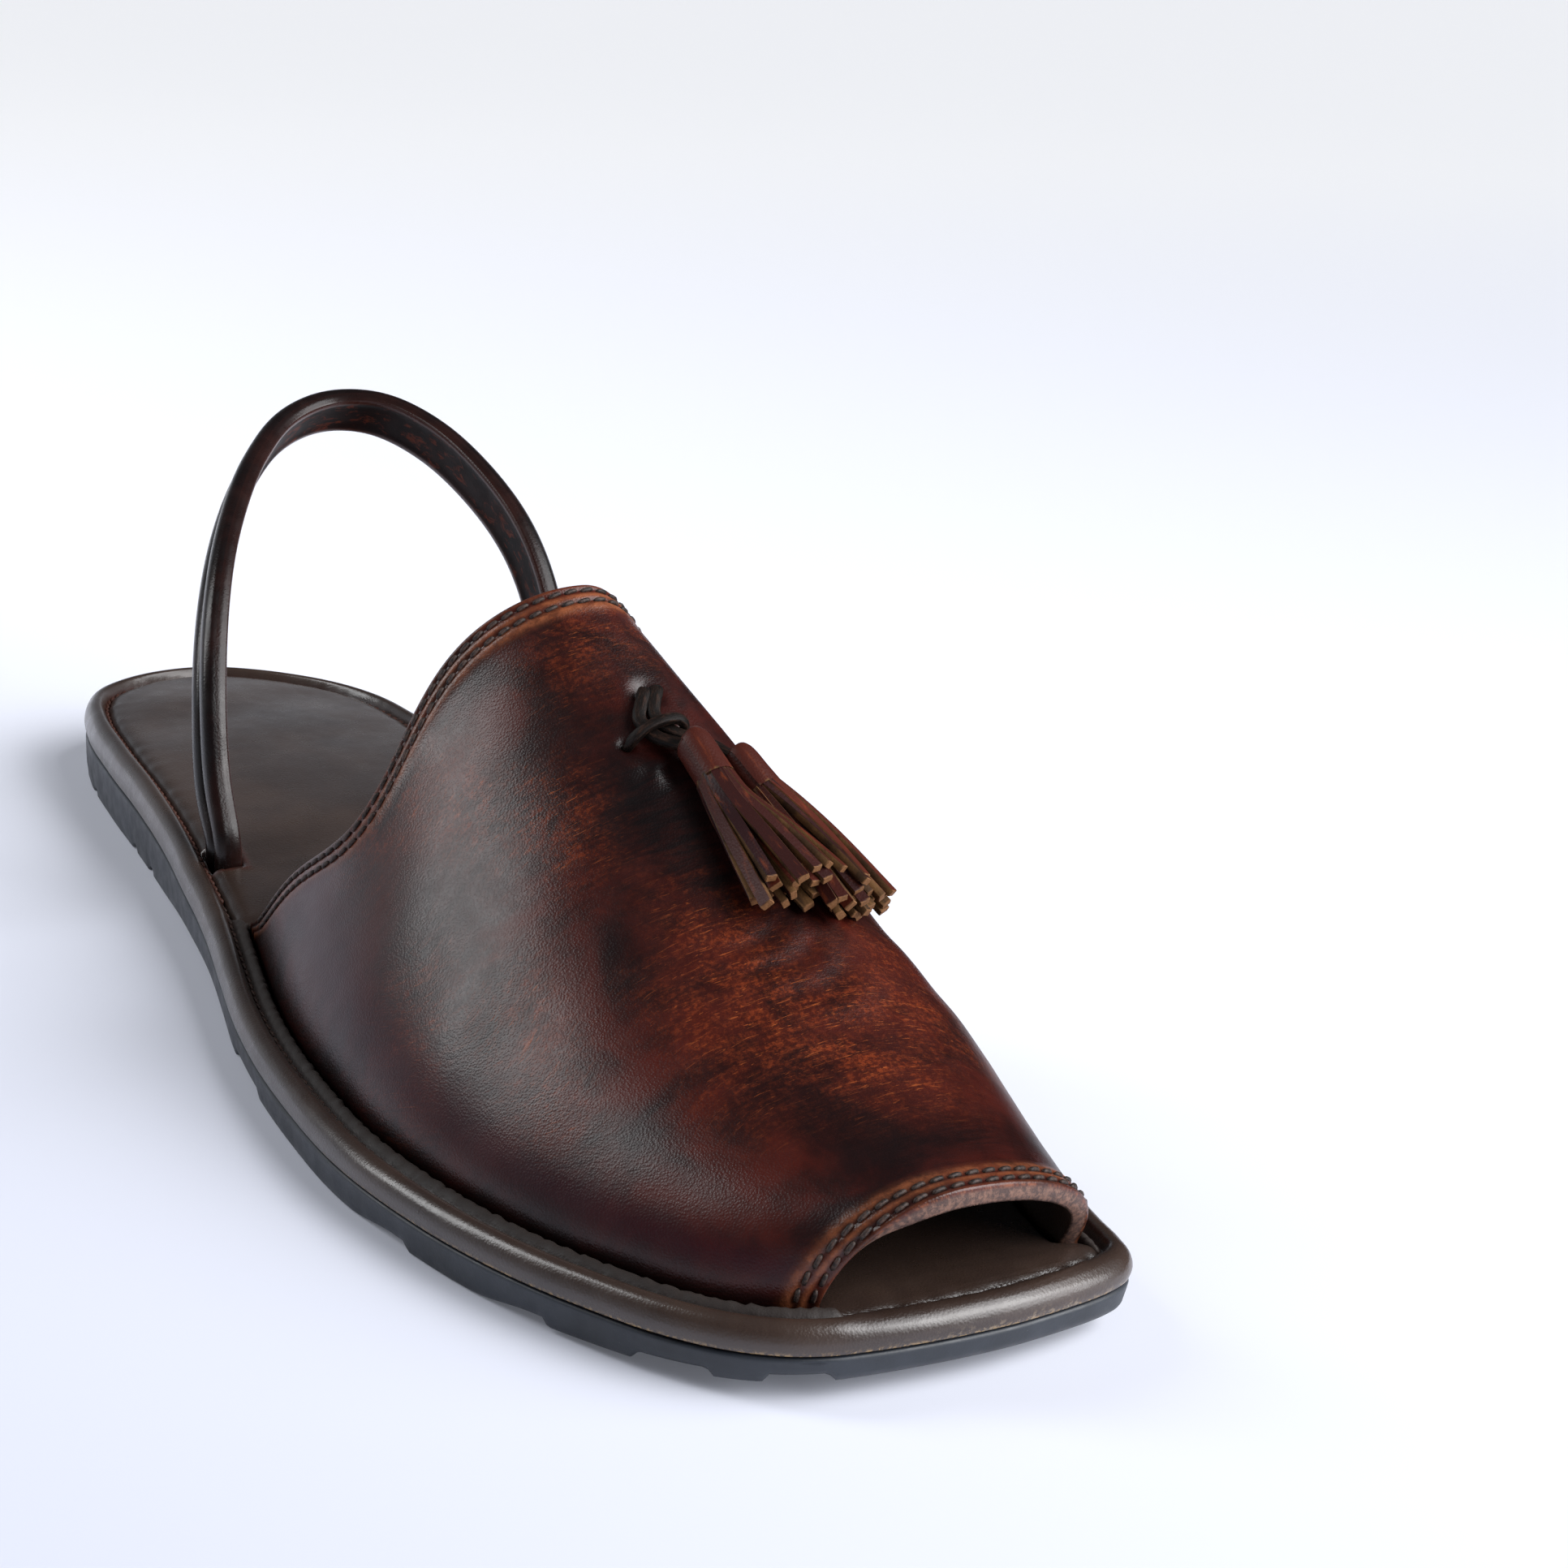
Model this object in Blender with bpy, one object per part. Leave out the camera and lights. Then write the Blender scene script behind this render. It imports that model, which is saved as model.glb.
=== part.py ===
"""Open leather sandal for the right foot, standing on its sole.

Stations are in millimetres: u runs from the heel to the toe, x is positive on the medial side and z is
up from the floor. The finished part is in metres with the toe towards -Y, the medial side towards +X
and the origin under the middle of its box.
"""

import math

import bmesh
import bpy
import numpy as np

MM = 0.001
FIT = 0.3
WALL = 2.6
BOARD = 1.2
UPPER_INSET = 7.1
RAND_INSET = 4.5
STRAP_INSET = 7.6
STRAP_WIDTH = 9.8
STRAP_THICK = 4.5
LUG_WIDTH = 9.0
LUG_DEPTH = 1.1
KEEPER_RADIUS = 0.8
NORMAL_REACH = 6.0

# Seam between rubber and leather seen from above, from the back of the heel round the lateral side.
OUTLINE = [
    # u, x
    (1.0, 0.0), (2.2, -9.0), (5.8, -17.0), (12.3, -24.6), (20.0, -28.4), (28.0, -30.4), (48.5, -33.0),
    (74.3, -35.1), (92.0, -36.9), (111.7, -39.7), (131.4, -42.7), (150.0, -46.6), (162.3, -49.2),
    (178.0, -51.6), (196.0, -53.0), (215.0, -53.1), (230.0, -51.0), (243.4, -47.9), (257.3, -43.2),
    (266.0, -39.3), (275.4, -34.4), (281.0, -30.4), (285.7, -25.6), (288.4, -21.6), (290.3, -17.0),
    (291.4, -11.5), (292.3, -4.0), (292.8, 4.0), (292.8, 10.0), (292.4, 15.0), (291.9, 19.5),
    (291.2, 24.0), (290.3, 27.6), (288.9, 30.8), (286.8, 33.0), (283.2, 34.4), (277.0, 35.8),
    (270.0, 37.6), (262.0, 40.2), (252.0, 43.6), (243.0, 46.2), (232.0, 47.8), (212.0, 46.0),
    (192.0, 41.6), (175.0, 36.9), (160.0, 33.4), (140.0, 30.6),
    (120.0, 29.7), (100.0, 30.6), (80.0, 32.2), (60.0, 33.5), (45.0, 33.6), (31.0, 31.5), (20.5, 27.0),
    (12.5, 20.8), (5.8, 12.9), (2.2, 6.0),
]
TOE_POINT = (292.8, 8.0)

# Gaps between the lugs round the edge of the tread.
NOTCHES = [
    # start u, end u
    (33.0, 36.5), (67.0, 70.0), (79.5, 83.0), (163.5, 180.0), (228.0, 231.5), (254.5, 257.5), (268.5, 277.0),
]

# Ends of the two lines along which the upper meets the footbed.
UPPER_SPAN = {
    # side: (collar u, x), (toe u, x)
    "lateral": ((135.0, -43.3), (290.2, -17.2)),
    "medial": ((133.0, 30.2), (284.5, 34.0)),
}
STRAP_BASE = {
    # side: u, x on the outline
    "lateral": (108.5, -39.2),
    "medial": (108.0, 30.1),
}

# Crest of the upper and the fullness of its two flanks, from the collar (v 0) to the toe arch (v 1).
CREST = {
    "v": (0.0, 0.15, 0.35, 0.55, 0.75, 0.9, 1.0),
    "u": (174.0, 190.0, 211.5, 234.0, 259.0, 277.2, 289.0),
    "x": (2.0, 6.5, 9.8, 9.8, 6.8, 4.0, 1.8),
    "z": (76.5, 66.8, 54.3, 42.0, 31.8, 27.3, 26.2),
    "lateral": (1.02, 1.12, 1.2, 1.25, 1.2, 1.05, 1.08),
    "medial": (0.9, 0.8, 0.9, 1.05, 1.0, 0.82, 0.82),
    "lean": (0.72, 0.8, 0.9, 1.0, 1.0, 1.0, 1.0),
}
SCOOP = {"depth": 0.103, "at": 0.654, "width": 0.2}

STRAP_PATH = [
    # u, x, z
    (103.0, -31.3, 22.0), (96.0, -29.9, 35.8), (80.5, -23.7, 52.1), (62.7, -14.2, 62.6),
    (47.1, -3.8, 69.3), (36.9, 5.9, 73.8), (33.3, 15.5, 76.4), (36.6, 24.3, 76.6), (46.5, 30.9, 73.9),
    (61.8, 35.8, 67.8), (79.6, 38.9, 57.1), (94.0, 38.0, 41.0), (103.0, 30.5, 25.0),
]

# Stations of a tassel over the face of the upper; lobes is how deep the strips are cut.
TASSELS = {
    "tassel_left": [
        # v, w, lift, half width, half thickness, lobes
        (0.188, -0.058, 1.2, 0.85, 0.6, 0.0), (0.232, -0.098, 1.3, 0.9, 0.6, 0.0),
        (0.262, -0.089, 1.4, 0.85, 0.6, 0.0), (0.284, -0.063, 2.0, 1.1, 0.8, 0.0),
        (0.294, -0.051, 3.0, 2.2, 2.2, 0.0), (0.302, -0.049, 3.3, 2.5, 2.6, 0.05),
        (0.330, -0.049, 3.3, 2.6, 2.6, 0.1), (0.352, -0.049, 3.3, 2.7, 2.6, 0.3),
        (0.400, -0.052, 3.8, 3.8, 3.1, 0.4), (0.460, -0.046, 4.2, 5.3, 3.5, 0.45),
        (0.530, -0.040, 4.4, 6.6, 3.6, 0.5),
    ],
    "tassel_right": [
        (0.188, -0.030, 1.2, 0.85, 0.6, 0.0), (0.232, -0.068, 1.3, 0.9, 0.6, 0.0),
        (0.262, -0.053, 1.4, 0.85, 0.6, 0.0), (0.284, -0.015, 1.6, 0.9, 0.65, 0.0),
        (0.302, 0.006, 1.9, 1.1, 0.8, 0.0), (0.316, 0.016, 2.4, 1.4, 1.2, 0.0),
        (0.326, 0.023, 3.1, 2.2, 2.3, 0.0), (0.334, 0.028, 3.3, 2.5, 2.6, 0.05),
        (0.356, 0.036, 3.3, 2.6, 2.6, 0.1), (0.374, 0.048, 3.4, 2.7, 2.7, 0.3),
        (0.420, 0.092, 3.8, 3.6, 3.1, 0.4), (0.480, 0.150, 4.2, 4.6, 3.5, 0.45),
        (0.520, 0.192, 4.4, 5.5, 3.6, 0.5), (0.555, 0.225, 4.4, 6.3, 3.6, 0.5),
    ],
}
STRIPS = 12
KEEPER_PATH = [
    # v, w, lift
    (0.256, -0.133, 1.15), (0.256, -0.121, 2.0), (0.252, -0.100, 2.8), (0.250, -0.070, 3.2),
    (0.250, -0.045, 3.0), (0.253, -0.032, 2.2), (0.255, -0.027, 1.15),
]

MATERIALS = {
    # name: base colour, roughness
    "black_rubber": ((0.020, 0.026, 0.034), 0.62),
    "footbed_leather": ((0.048, 0.036, 0.028), 0.42),
    "burnished_leather": ((0.085, 0.022, 0.011), 0.38),
    "strap_leather": ((0.030, 0.014, 0.010), 0.35),
    "lace_leather": ((0.026, 0.020, 0.015), 0.55),
    "tassel_leather": ((0.120, 0.045, 0.020), 0.50),
}


def spline(knots, values, at):
    """Cubic curve through the values, with the slope at each knot taken from its two neighbours."""
    knots = np.asarray(knots, float)
    values = np.asarray(values, float)
    slope = np.gradient(values, knots, axis=0)
    at = np.clip(np.asarray(at, float), knots[0], knots[-1])
    low = np.clip(np.searchsorted(knots, at) - 1, 0, len(knots) - 2)
    step = knots[low + 1] - knots[low]
    k = (at - knots[low]) / step
    if values.ndim > 1:
        k = k[..., None]
        step = step[..., None]
    start = values[low] * (1 + 2 * k) * (1 - k) ** 2 + slope[low] * step * k * (1 - k) ** 2
    end = values[low + 1] * k * k * (3 - 2 * k) + slope[low + 1] * step * k * k * (k - 1)
    return start + end


def smooth(k):
    """Soft step from 0 to 1."""
    k = np.clip(k, 0.0, 1.0)
    return k * k * (3 - 2 * k)


def closed_curve(points, count):
    """Closed curve through the points, sampled evenly along its length."""
    ring = np.array(points[-3:] + points + points[:3], float)
    knots = np.concatenate([[0.0], np.cumsum(np.linalg.norm(np.diff(ring, axis=0), axis=1))])
    dense = spline(knots, ring, np.linspace(knots[3], knots[-3], count * 4))
    length = np.concatenate([[0.0], np.cumsum(np.linalg.norm(np.diff(dense, axis=0), axis=1))])
    at = np.linspace(0.0, length[-1], count + 1)
    return at, np.stack([np.interp(at, length, dense[:, i]) for i in (0, 1)], 1)


EDGE_S, EDGE = closed_curve(OUTLINE, 2400)
EDGE_LENGTH = EDGE_S[-1]


def edge_at(s):
    """Outline points and their inward normals at arc lengths s."""
    s = np.mod(s, EDGE_LENGTH)
    point = np.stack([np.interp(s, EDGE_S, EDGE[:, i]) for i in (0, 1)], -1)
    ahead = np.mod(s + NORMAL_REACH, EDGE_LENGTH)
    behind = np.mod(s - NORMAL_REACH, EDGE_LENGTH)
    along = np.stack([np.interp(ahead, EDGE_S, EDGE[:, i]) - np.interp(behind, EDGE_S, EDGE[:, i])
                      for i in (0, 1)], -1)
    along /= np.linalg.norm(along, axis=-1)[..., None]
    return point, np.stack([-along[..., 1], along[..., 0]], -1)


def edge_near(point):
    """Arc length of the outline point nearest to a plan position."""
    return EDGE_S[int(np.argmin(np.linalg.norm(EDGE - point, axis=1)))]


TOE_S = edge_near(TOE_POINT)


def seam_height(u):
    """Height of the top of the rubber."""
    return 9.2 - 4.0 * smooth((u - 60.0) / 130.0) + 2.3 * (np.clip(u - 225.0, 0.0, 90.0) / 75.0) ** 2


def rim_height(u):
    """Height of the rolled rand over the rubber."""
    return 6.2 - 1.9 * smooth((u - 60.0) / 110.0)


def tread_height(u):
    """Underside of the lugs: flat at heel and forefoot, raised under the arch and at the toe."""
    arch = 1.2 * smooth((u - 88.0) / 25.0) * smooth((165.0 - u) / 25.0)
    spring = 3.3 * (np.clip(u - 240.0, 0.0, 60.0) / 52.0) ** 2
    return arch + spring


def stations():
    """Arc lengths of the ring from the heel round the lateral side to the toe and back, in facing pairs."""
    share = set(np.linspace(0.0, 1.0, 33)[1:-1])
    share.update(np.linspace(0.86, 1.0, 17)[:-1])
    for start, end in NOTCHES:
        for u in (start - 0.4, start + 0.4, end - 0.4, end + 0.4):
            share.add(lateral_share(u))
    for side in ("lateral", "medial"):
        base = edge_near(STRAP_BASE[side])
        share.update(edge_share(base + away) for away in (-8.0, -5.4, 5.4, 8.0))
        collar, toe = (edge_near(p) for p in UPPER_SPAN[side])
        share.update(edge_share(end + away) for end in (collar, toe) for away in (-4.5, 0.0, 4.5))
    keep = []
    for t in sorted(share):
        if not keep or t - keep[-1] > 0.003:
            keep.append(t)
    share = np.array(keep)
    lateral = share * TOE_S
    medial = EDGE_LENGTH - share[::-1] * (EDGE_LENGTH - TOE_S)
    return np.concatenate([[0.0], lateral, [TOE_S], medial])


def edge_share(s):
    """Share of the way from heel to toe, along either side, at arc length s."""
    return np.where(s <= TOE_S, s / TOE_S, (EDGE_LENGTH - s) / (EDGE_LENGTH - TOE_S)).tolist()


def lateral_share(u):
    """Share of the way from heel to toe along the lateral side at station u."""
    side = EDGE_S < TOE_S
    return float(np.interp(u, EDGE[side, 0], EDGE_S[side])) / TOE_S


RING = stations()
RING_SHARE = np.array(edge_share(RING))
RING_POINT, RING_NORMAL = edge_at(RING)


def inset(distance):
    """The ring moved inwards, by one distance or by one for each station."""
    return RING_POINT + RING_NORMAL * np.broadcast_to(distance, RING.shape)[:, None]


def lift(plan, height):
    """Plan points with a height for each."""
    return np.column_stack([plan, np.broadcast_to(height, (len(plan),))])


def span(side, ramp, margin=0.0):
    """1 beside the upper's foot on one side, easing to 0 past its ends."""
    ends = sorted(edge_near(p) for p in UPPER_SPAN[side])
    rise = smooth((RING - ends[0] + margin + ramp) / ramp)
    return rise * smooth((ends[1] + margin + ramp - RING) / ramp)


def strap_notch(side):
    """1 where the strap comes up between the rand and the insole."""
    away = np.abs(RING - edge_near(STRAP_BASE[side]))
    return smooth((8.0 - away) / 2.5)


def notch_cut():
    """1 between the lugs, 0 under them."""
    cut = np.zeros(len(RING))
    for start, end in NOTCHES:
        low, high = lateral_share(start), lateral_share(end)
        cut[(RING_SHARE > low) & (RING_SHARE < high)] = 1.0
    return cut


class Shell:
    """Points and faces of one closed solid, in millimetre stations."""

    def __init__(self):
        self.points = []
        self.faces = []

    def add(self, points):
        start = len(self.points)
        self.points.extend(np.asarray(points, float).tolist())
        return list(range(start, len(self.points)))

    def wall(self, one, two):
        """Band of quads between two closed rings."""
        for i in range(len(one)):
            j = (i + 1) % len(one)
            self.faces.append((one[i], one[j], two[j], two[i]))

    def ladder(self, ring):
        """Cap across a heel-to-toe ring, joining each lateral point to the one it faces."""
        count = len(ring)
        half = count // 2
        for i in range(half):
            quad = (ring[i], ring[i + 1], ring[count - i - 1], ring[(count - i) % count])
            self.faces.append(tuple(dict.fromkeys(quad)))

    def crown(self, ring, rise, columns):
        """Cap across a heel-to-toe ring, bulging by rise between the two sides."""
        count = len(ring)
        half = count // 2
        rows = [[ring[0]]]
        for i in range(1, half):
            one = np.array(self.points[ring[i]])
            two = np.array(self.points[ring[count - i]])
            row = [ring[i]]
            for k in np.linspace(0.0, 1.0, columns + 2)[1:-1]:
                mid = one + (two - one) * k
                mid[2] += rise * math.sin(math.pi * k) * min(1.0, np.linalg.norm(two - one) / 40.0)
                row += self.add([mid])
            rows.append(row + [ring[count - i]])
        rows.append([ring[half]])
        for one, two in zip(rows, rows[1:]):
            for k in range(columns + 1):
                quad = [r[min(k + d, len(r) - 1)] for r, d in ((one, 0), (one, 1), (two, 1), (two, 0))]
                quad = tuple(dict.fromkeys(quad))
                if len(quad) > 2:
                    self.faces.append(quad)

    def grid(self, rows):
        """Quads over a table of point numbers."""
        for one, two in zip(rows, rows[1:]):
            for k in range(len(one) - 1):
                self.faces.append((one[k], one[k + 1], two[k + 1], two[k]))

    def fan(self, ring, centre):
        """Close a ring with triangles to a middle point."""
        hub = self.add([centre])[0]
        for i in range(len(ring)):
            self.faces.append((ring[i], ring[(i + 1) % len(ring)], hub))

    def tube(self, rings):
        """Closed tube through a list of rings of points."""
        numbered = [self.add(r) for r in rings]
        for one, two in zip(numbered, numbered[1:]):
            self.wall(one, two)
        self.fan(numbered[0], np.mean(rings[0], axis=0))
        self.fan(numbered[-1], np.mean(rings[-1], axis=0))


def outsole():
    """Rubber sole: plain side wall, lugs round the edge and a recessed middle."""
    shell = Shell()
    u = RING_POINT[:, 0]
    seam = seam_height(u)
    tread = tread_height(u)
    cut = notch_cut() * LUG_DEPTH
    layers = [
        # inset, height
        (0.5, seam - FIT / 2),
        (0.1, seam - 0.5),
        (0.35, tread + 0.45 * (seam - tread)),
        (0.8, tread + cut + 0.5),
        (1.3, tread + cut),
        (LUG_WIDTH, tread + cut),
        (LUG_WIDTH + 0.5, tread + LUG_DEPTH + 0.01),
    ]
    rings = [shell.add(lift(inset(d), z)) for d, z in layers]
    for one, two in zip(rings, rings[1:]):
        shell.wall(one, two)
    shell.ladder(rings[0])
    shell.ladder(rings[-1])
    return shell


def rand():
    """Leather tray with a rolled rim, a stitched groove and, beside the upper, a second ridge."""
    shell = Shell()
    u = RING_POINT[:, 0]
    seam = seam_height(u)
    rim = rim_height(u)
    beside = np.maximum(span("lateral", 4.0, 1.0), span("medial", 4.0, 1.0))
    inner = RAND_INSET + (UPPER_INSET - 2 * FIT - RAND_INSET) * beside
    layers = [
        # inset, height
        (0.4, seam + FIT / 2),
        (-0.1, seam + 0.2 * rim),
        (-0.2, seam + 0.5 * rim),
        (0.35, seam + 0.82 * rim),
        (1.2, seam + 0.97 * rim),
        (2.1, seam + rim),
        (3.1, seam + 0.92 * rim),
        (3.8, seam + 0.70 * rim),
        (inner - 0.7, seam + (0.70 + 0.10 * beside) * rim),
        (inner, seam + (0.62 + 0.08 * beside) * rim),
        (inner, seam + FIT / 2 + BOARD),
    ]
    rings = [shell.add(lift(inset(d), z)) for d, z in layers]
    for one, two in zip(rings, rings[1:]):
        shell.wall(one, two)
    shell.ladder(rings[0])
    shell.ladder(rings[-1])
    return shell


def insole():
    """Leather footbed inside the rand, cut back for the upper and for the two ends of the strap."""
    shell = Shell()
    u = RING_POINT[:, 0]
    base = seam_height(u) + FIT / 2 + BOARD + FIT
    top = seam_height(u) + 0.93 * rim_height(u)
    upper_cut = np.maximum(span("lateral", 4.0, 1.5), span("medial", 4.0, 1.5))
    strap_cut = np.maximum(strap_notch("lateral"), strap_notch("medial"))
    edge = RAND_INSET + FIT
    edge = edge + (UPPER_INSET + WALL + 1.5 * FIT - edge) * upper_cut
    edge = edge + (STRAP_INSET + STRAP_THICK / 2 + 2 * FIT - edge) * strap_cut * (1 - upper_cut)
    layers = [
        # inset, height
        (edge, base),
        (edge, top - 0.9),
        (edge + 0.4, top - 0.25),
        (edge + 1.4, top),
    ]
    rings = [shell.add(lift(inset(d), z)) for d, z in layers]
    for one, two in zip(rings, rings[1:]):
        shell.wall(one, two)
    shell.ladder(rings[0])
    shell.crown(rings[-1], 0.7, 4)
    return shell


def foot_line(side, v):
    """Plan points and inward normals of the line where the upper's outer face meets the footbed."""
    start, end = (edge_near(p) for p in UPPER_SPAN[side])
    point, normal = edge_at(start + (end - start) * v)
    return point + normal * UPPER_INSET, normal


def foot_height(u):
    """Height of the foot of the upper's outer face."""
    return seam_height(u) + rim_height(u) - 0.5


def upper_point(v, w):
    """Outer face of the upper: v runs from collar to toe arch, w from lateral foot to medial foot."""
    side = np.abs(w)
    depth, at, width = SCOOP["depth"], SCOOP["at"], SCOOP["width"]
    back = depth * np.exp(-((side - at) / width) ** 2) * (1 - side ** 6)
    back = back - depth * math.exp(-((at / width) ** 2)) * (1 - side) ** 2
    v = np.clip(back + (1 - back) * v, 0.0, 1.0)
    crest = {name: spline(CREST["v"], CREST[name], v) for name in CREST}
    full = np.where(w < 0, crest["lateral"], crest["medial"])
    foot = np.where((w < 0)[..., None], foot_line("lateral", v)[0], foot_line("medial", v)[0])
    angle = side * math.pi / 2
    across = np.sin(angle)
    rise = np.maximum(np.cos(angle), 0.0) ** full
    low = foot_height(foot[..., 0])
    u = foot[..., 0] + (crest["u"] - foot[..., 0]) * rise ** crest["lean"]
    x = crest["x"] + (foot[..., 1] - crest["x"]) * across
    return np.stack([u, x, low + (crest["z"] - low) * rise], -1)


def upper_normal(v, w):
    """Outward unit normal of the upper's outer face."""
    step = 0.004
    v = np.clip(v, step, 1 - step)
    w = np.clip(w, -1 + 2 * step, 1 - 2 * step)
    along = upper_point(v + step, w) - upper_point(v - step, w)
    across = upper_point(v, w + step) - upper_point(v, w - step)
    normal = np.cross(across, along)
    normal = normal / np.linalg.norm(normal, axis=-1)[..., None]
    return normal * np.where(normal[..., 2:] + 1e-3 < 0, -1.0, 1.0)


def upper():
    """Hollow leather vamp of one wall, open at collar, toe and underneath."""
    shell = Shell()
    rows = np.linspace(0.0, 1.0, 23)
    rows = 0.55 * rows + 0.45 * (0.5 - 0.5 * np.cos(math.pi * rows))
    v, w = np.meshgrid(rows, np.linspace(-1.0, 1.0, 31), indexing="ij")
    outer = upper_point(v, w)
    inner = outer - WALL * upper_normal(v, w)
    for column, side in ((0, "lateral"), (-1, "medial")):
        plan, normal = foot_line(side, v[:, column])
        inner[:, column, :2] = plan + WALL * normal
        inner[:, column, 2] = outer[:, column, 2]
    faces = []
    for face in (outer, inner):
        ends = []
        for column in (0, -1):
            low = face[:, column].copy()
            low[:, 2] = seam_height(low[:, 0]) + FIT / 2 + BOARD + 2 * FIT
            ends.append(low[:, None])
        table = np.concatenate([ends[0], face, ends[1]], axis=1)
        faces.append([shell.add(row) for row in table])
    for rows in faces:
        shell.grid(rows)
    one, two = faces
    for row in (0, -1):
        shell.grid([one[row], two[row]])
    for column in (0, -1):
        shell.grid([[r[column] for r in one], [r[column] for r in two]])
    return shell


def strap_foot(side):
    """Where one end of the strap stands on the rand's board."""
    point, normal = edge_at(edge_near(STRAP_BASE[side]))
    plan = point + normal * STRAP_INSET
    return np.array([plan[0], plan[1], seam_height(plan[0]) + FIT / 2 + BOARD + FIT])


def heel_strap():
    """Folded leather band round the back of the heel, grooved along its outer face."""
    shell = Shell()
    one, two = strap_foot("lateral"), strap_foot("medial")
    rise = np.array([0.0, 0.0, 6.0])
    path = np.array([one, one + rise] + STRAP_PATH + [two + rise, two], float)
    knots = np.concatenate([[0.0], np.cumsum(np.linalg.norm(np.diff(path, axis=0), axis=1))])
    at = np.linspace(0.0, knots[-1], 45)
    line = spline(knots, path, at)
    along = np.gradient(line, axis=0)
    along[0] = along[-1] = (0.0, 0.0, 1.0)
    along[-1] *= -1
    middle = line[len(line) // 2]
    plane = np.cross(two - one, middle - one)
    plane /= np.linalg.norm(plane)
    half_w, half_t = STRAP_WIDTH / 2, STRAP_THICK / 2
    section = [
        # across the band, through the band
        (-1.0, -0.35), (-0.8, -0.9), (-0.35, -1.0), (0.35, -1.0), (0.8, -0.9), (1.0, -0.35),
        (0.95, 0.5), (0.62, 1.0), (0.25, 0.86), (0.0, 0.55), (-0.25, 0.86), (-0.62, 1.0), (-0.95, 0.5),
    ]
    rings = []
    for centre, tangent in zip(line, along):
        tangent = tangent / np.linalg.norm(tangent)
        out = np.cross(tangent, plane)
        out /= np.linalg.norm(out)
        if np.dot(out, centre - (one + two) / 2) < 0:
            out = -out
        wide = np.cross(tangent, out)
        rings.append([centre + wide * a * half_w + out * b * half_t for a, b in section])
    shell.tube(rings)
    return shell


def over_upper(v, w, height):
    """Point at a height over the upper's face, with the face's normal."""
    v, w = np.array([v]), np.array([w])
    normal = upper_normal(v, w)[0]
    return upper_point(v, w)[0] + normal * height, normal


def tassel(table):
    """Thong, knotted head and skirt of one tassel as one solid, the strips fused side by side."""
    shell = Shell()
    spots = [over_upper(v, w, height) for v, w, height, *_ in table]
    centres = np.array([p for p, _ in spots])
    along = np.gradient(centres, axis=0)
    turn = np.linspace(0.0, 2 * math.pi, STRIPS * 4, endpoint=False)
    groove = np.tile([0.0, 0.0, 0.0, 1.0], STRIPS)
    rings = []
    for (centre, normal), tangent, row in zip(spots, along, table):
        half_w, half_t, lobes = row[3:]
        side = np.cross(normal, tangent)
        side /= np.linalg.norm(side)
        up = np.cross(tangent, side)
        up /= np.linalg.norm(up)
        reach = 1.0 - lobes * groove
        ring = np.outer(np.cos(turn) * half_w * reach, side) + np.outer(np.sin(turn) * half_t * reach, up)
        rings.append(centre + ring)
    shell.tube(rings)
    return shell


def keeper():
    """Leather loop that holds both thongs down on the upper."""
    shell = Shell()
    knots = np.arange(len(KEEPER_PATH))
    table = spline(knots, KEEPER_PATH, np.linspace(0, knots[-1], 15))
    spots = [over_upper(*row) for row in table]
    centres = np.array([p for p, _ in spots])
    along = np.gradient(centres, axis=0)
    turn = np.linspace(0.0, 2 * math.pi, 8, endpoint=False)
    rings = []
    for (centre, normal), tangent in zip(spots, along):
        tangent = tangent / np.linalg.norm(tangent)
        side = np.cross(normal, tangent)
        side /= np.linalg.norm(side)
        up = np.cross(tangent, side)
        ring = centre + KEEPER_RADIUS * (np.outer(np.cos(turn), side) + np.outer(np.sin(turn), up))
        rings.append(ring)
    shell.tube(rings)
    return shell


def material(name):
    """Plain leather or rubber."""
    colour, roughness = MATERIALS[name]
    result = bpy.data.materials.new(name)
    result.use_nodes = True
    shader = result.node_tree.nodes["Principled BSDF"]
    shader.inputs["Base Color"].default_value = (*colour, 1.0)
    shader.inputs["Roughness"].default_value = roughness
    return result


def solid(name, shell, middle, paint):
    """Blender object of one shell, turned from stations to metres."""
    points = np.array(shell.points)
    placed = np.column_stack([points[:, 1], -points[:, 0], points[:, 2]]) - middle
    mesh = bpy.data.meshes.new(name)
    mesh.from_pydata((placed * MM).tolist(), [], shell.faces)
    edit = bmesh.new()
    edit.from_mesh(mesh)
    bmesh.ops.triangulate(edit, faces=edit.faces)
    bmesh.ops.recalc_face_normals(edit, faces=edit.faces)
    edit.to_mesh(mesh)
    edit.free()
    mesh.materials.append(paint)
    result = bpy.data.objects.new(name, mesh)
    bpy.context.scene.collection.objects.link(result)
    return result


def build():
    """Make every sub-part and set the box of the whole over the origin."""
    for thing in list(bpy.data.objects):
        bpy.data.objects.remove(thing)
    shells = {
        # name: shell, material
        "outsole": (outsole(), "black_rubber"),
        "rand": (rand(), "footbed_leather"),
        "insole": (insole(), "footbed_leather"),
        "upper": (upper(), "burnished_leather"),
        "heel_strap": (heel_strap(), "strap_leather"),
        "keeper": (keeper(), "lace_leather"),
    }
    for name, table in TASSELS.items():
        shells[name] = (tassel(table), "tassel_leather")
    every = np.concatenate([np.array(shell.points) for shell, _ in shells.values()])
    low, high = every.min(axis=0), every.max(axis=0)
    middle = np.array([(low[1] + high[1]) / 2, -(low[0] + high[0]) / 2, low[2]])
    paints = {name: material(name) for name in MATERIALS}
    for name, (shell, paint) in shells.items():
        solid(name, shell, middle, paints[paint])


build()
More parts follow.
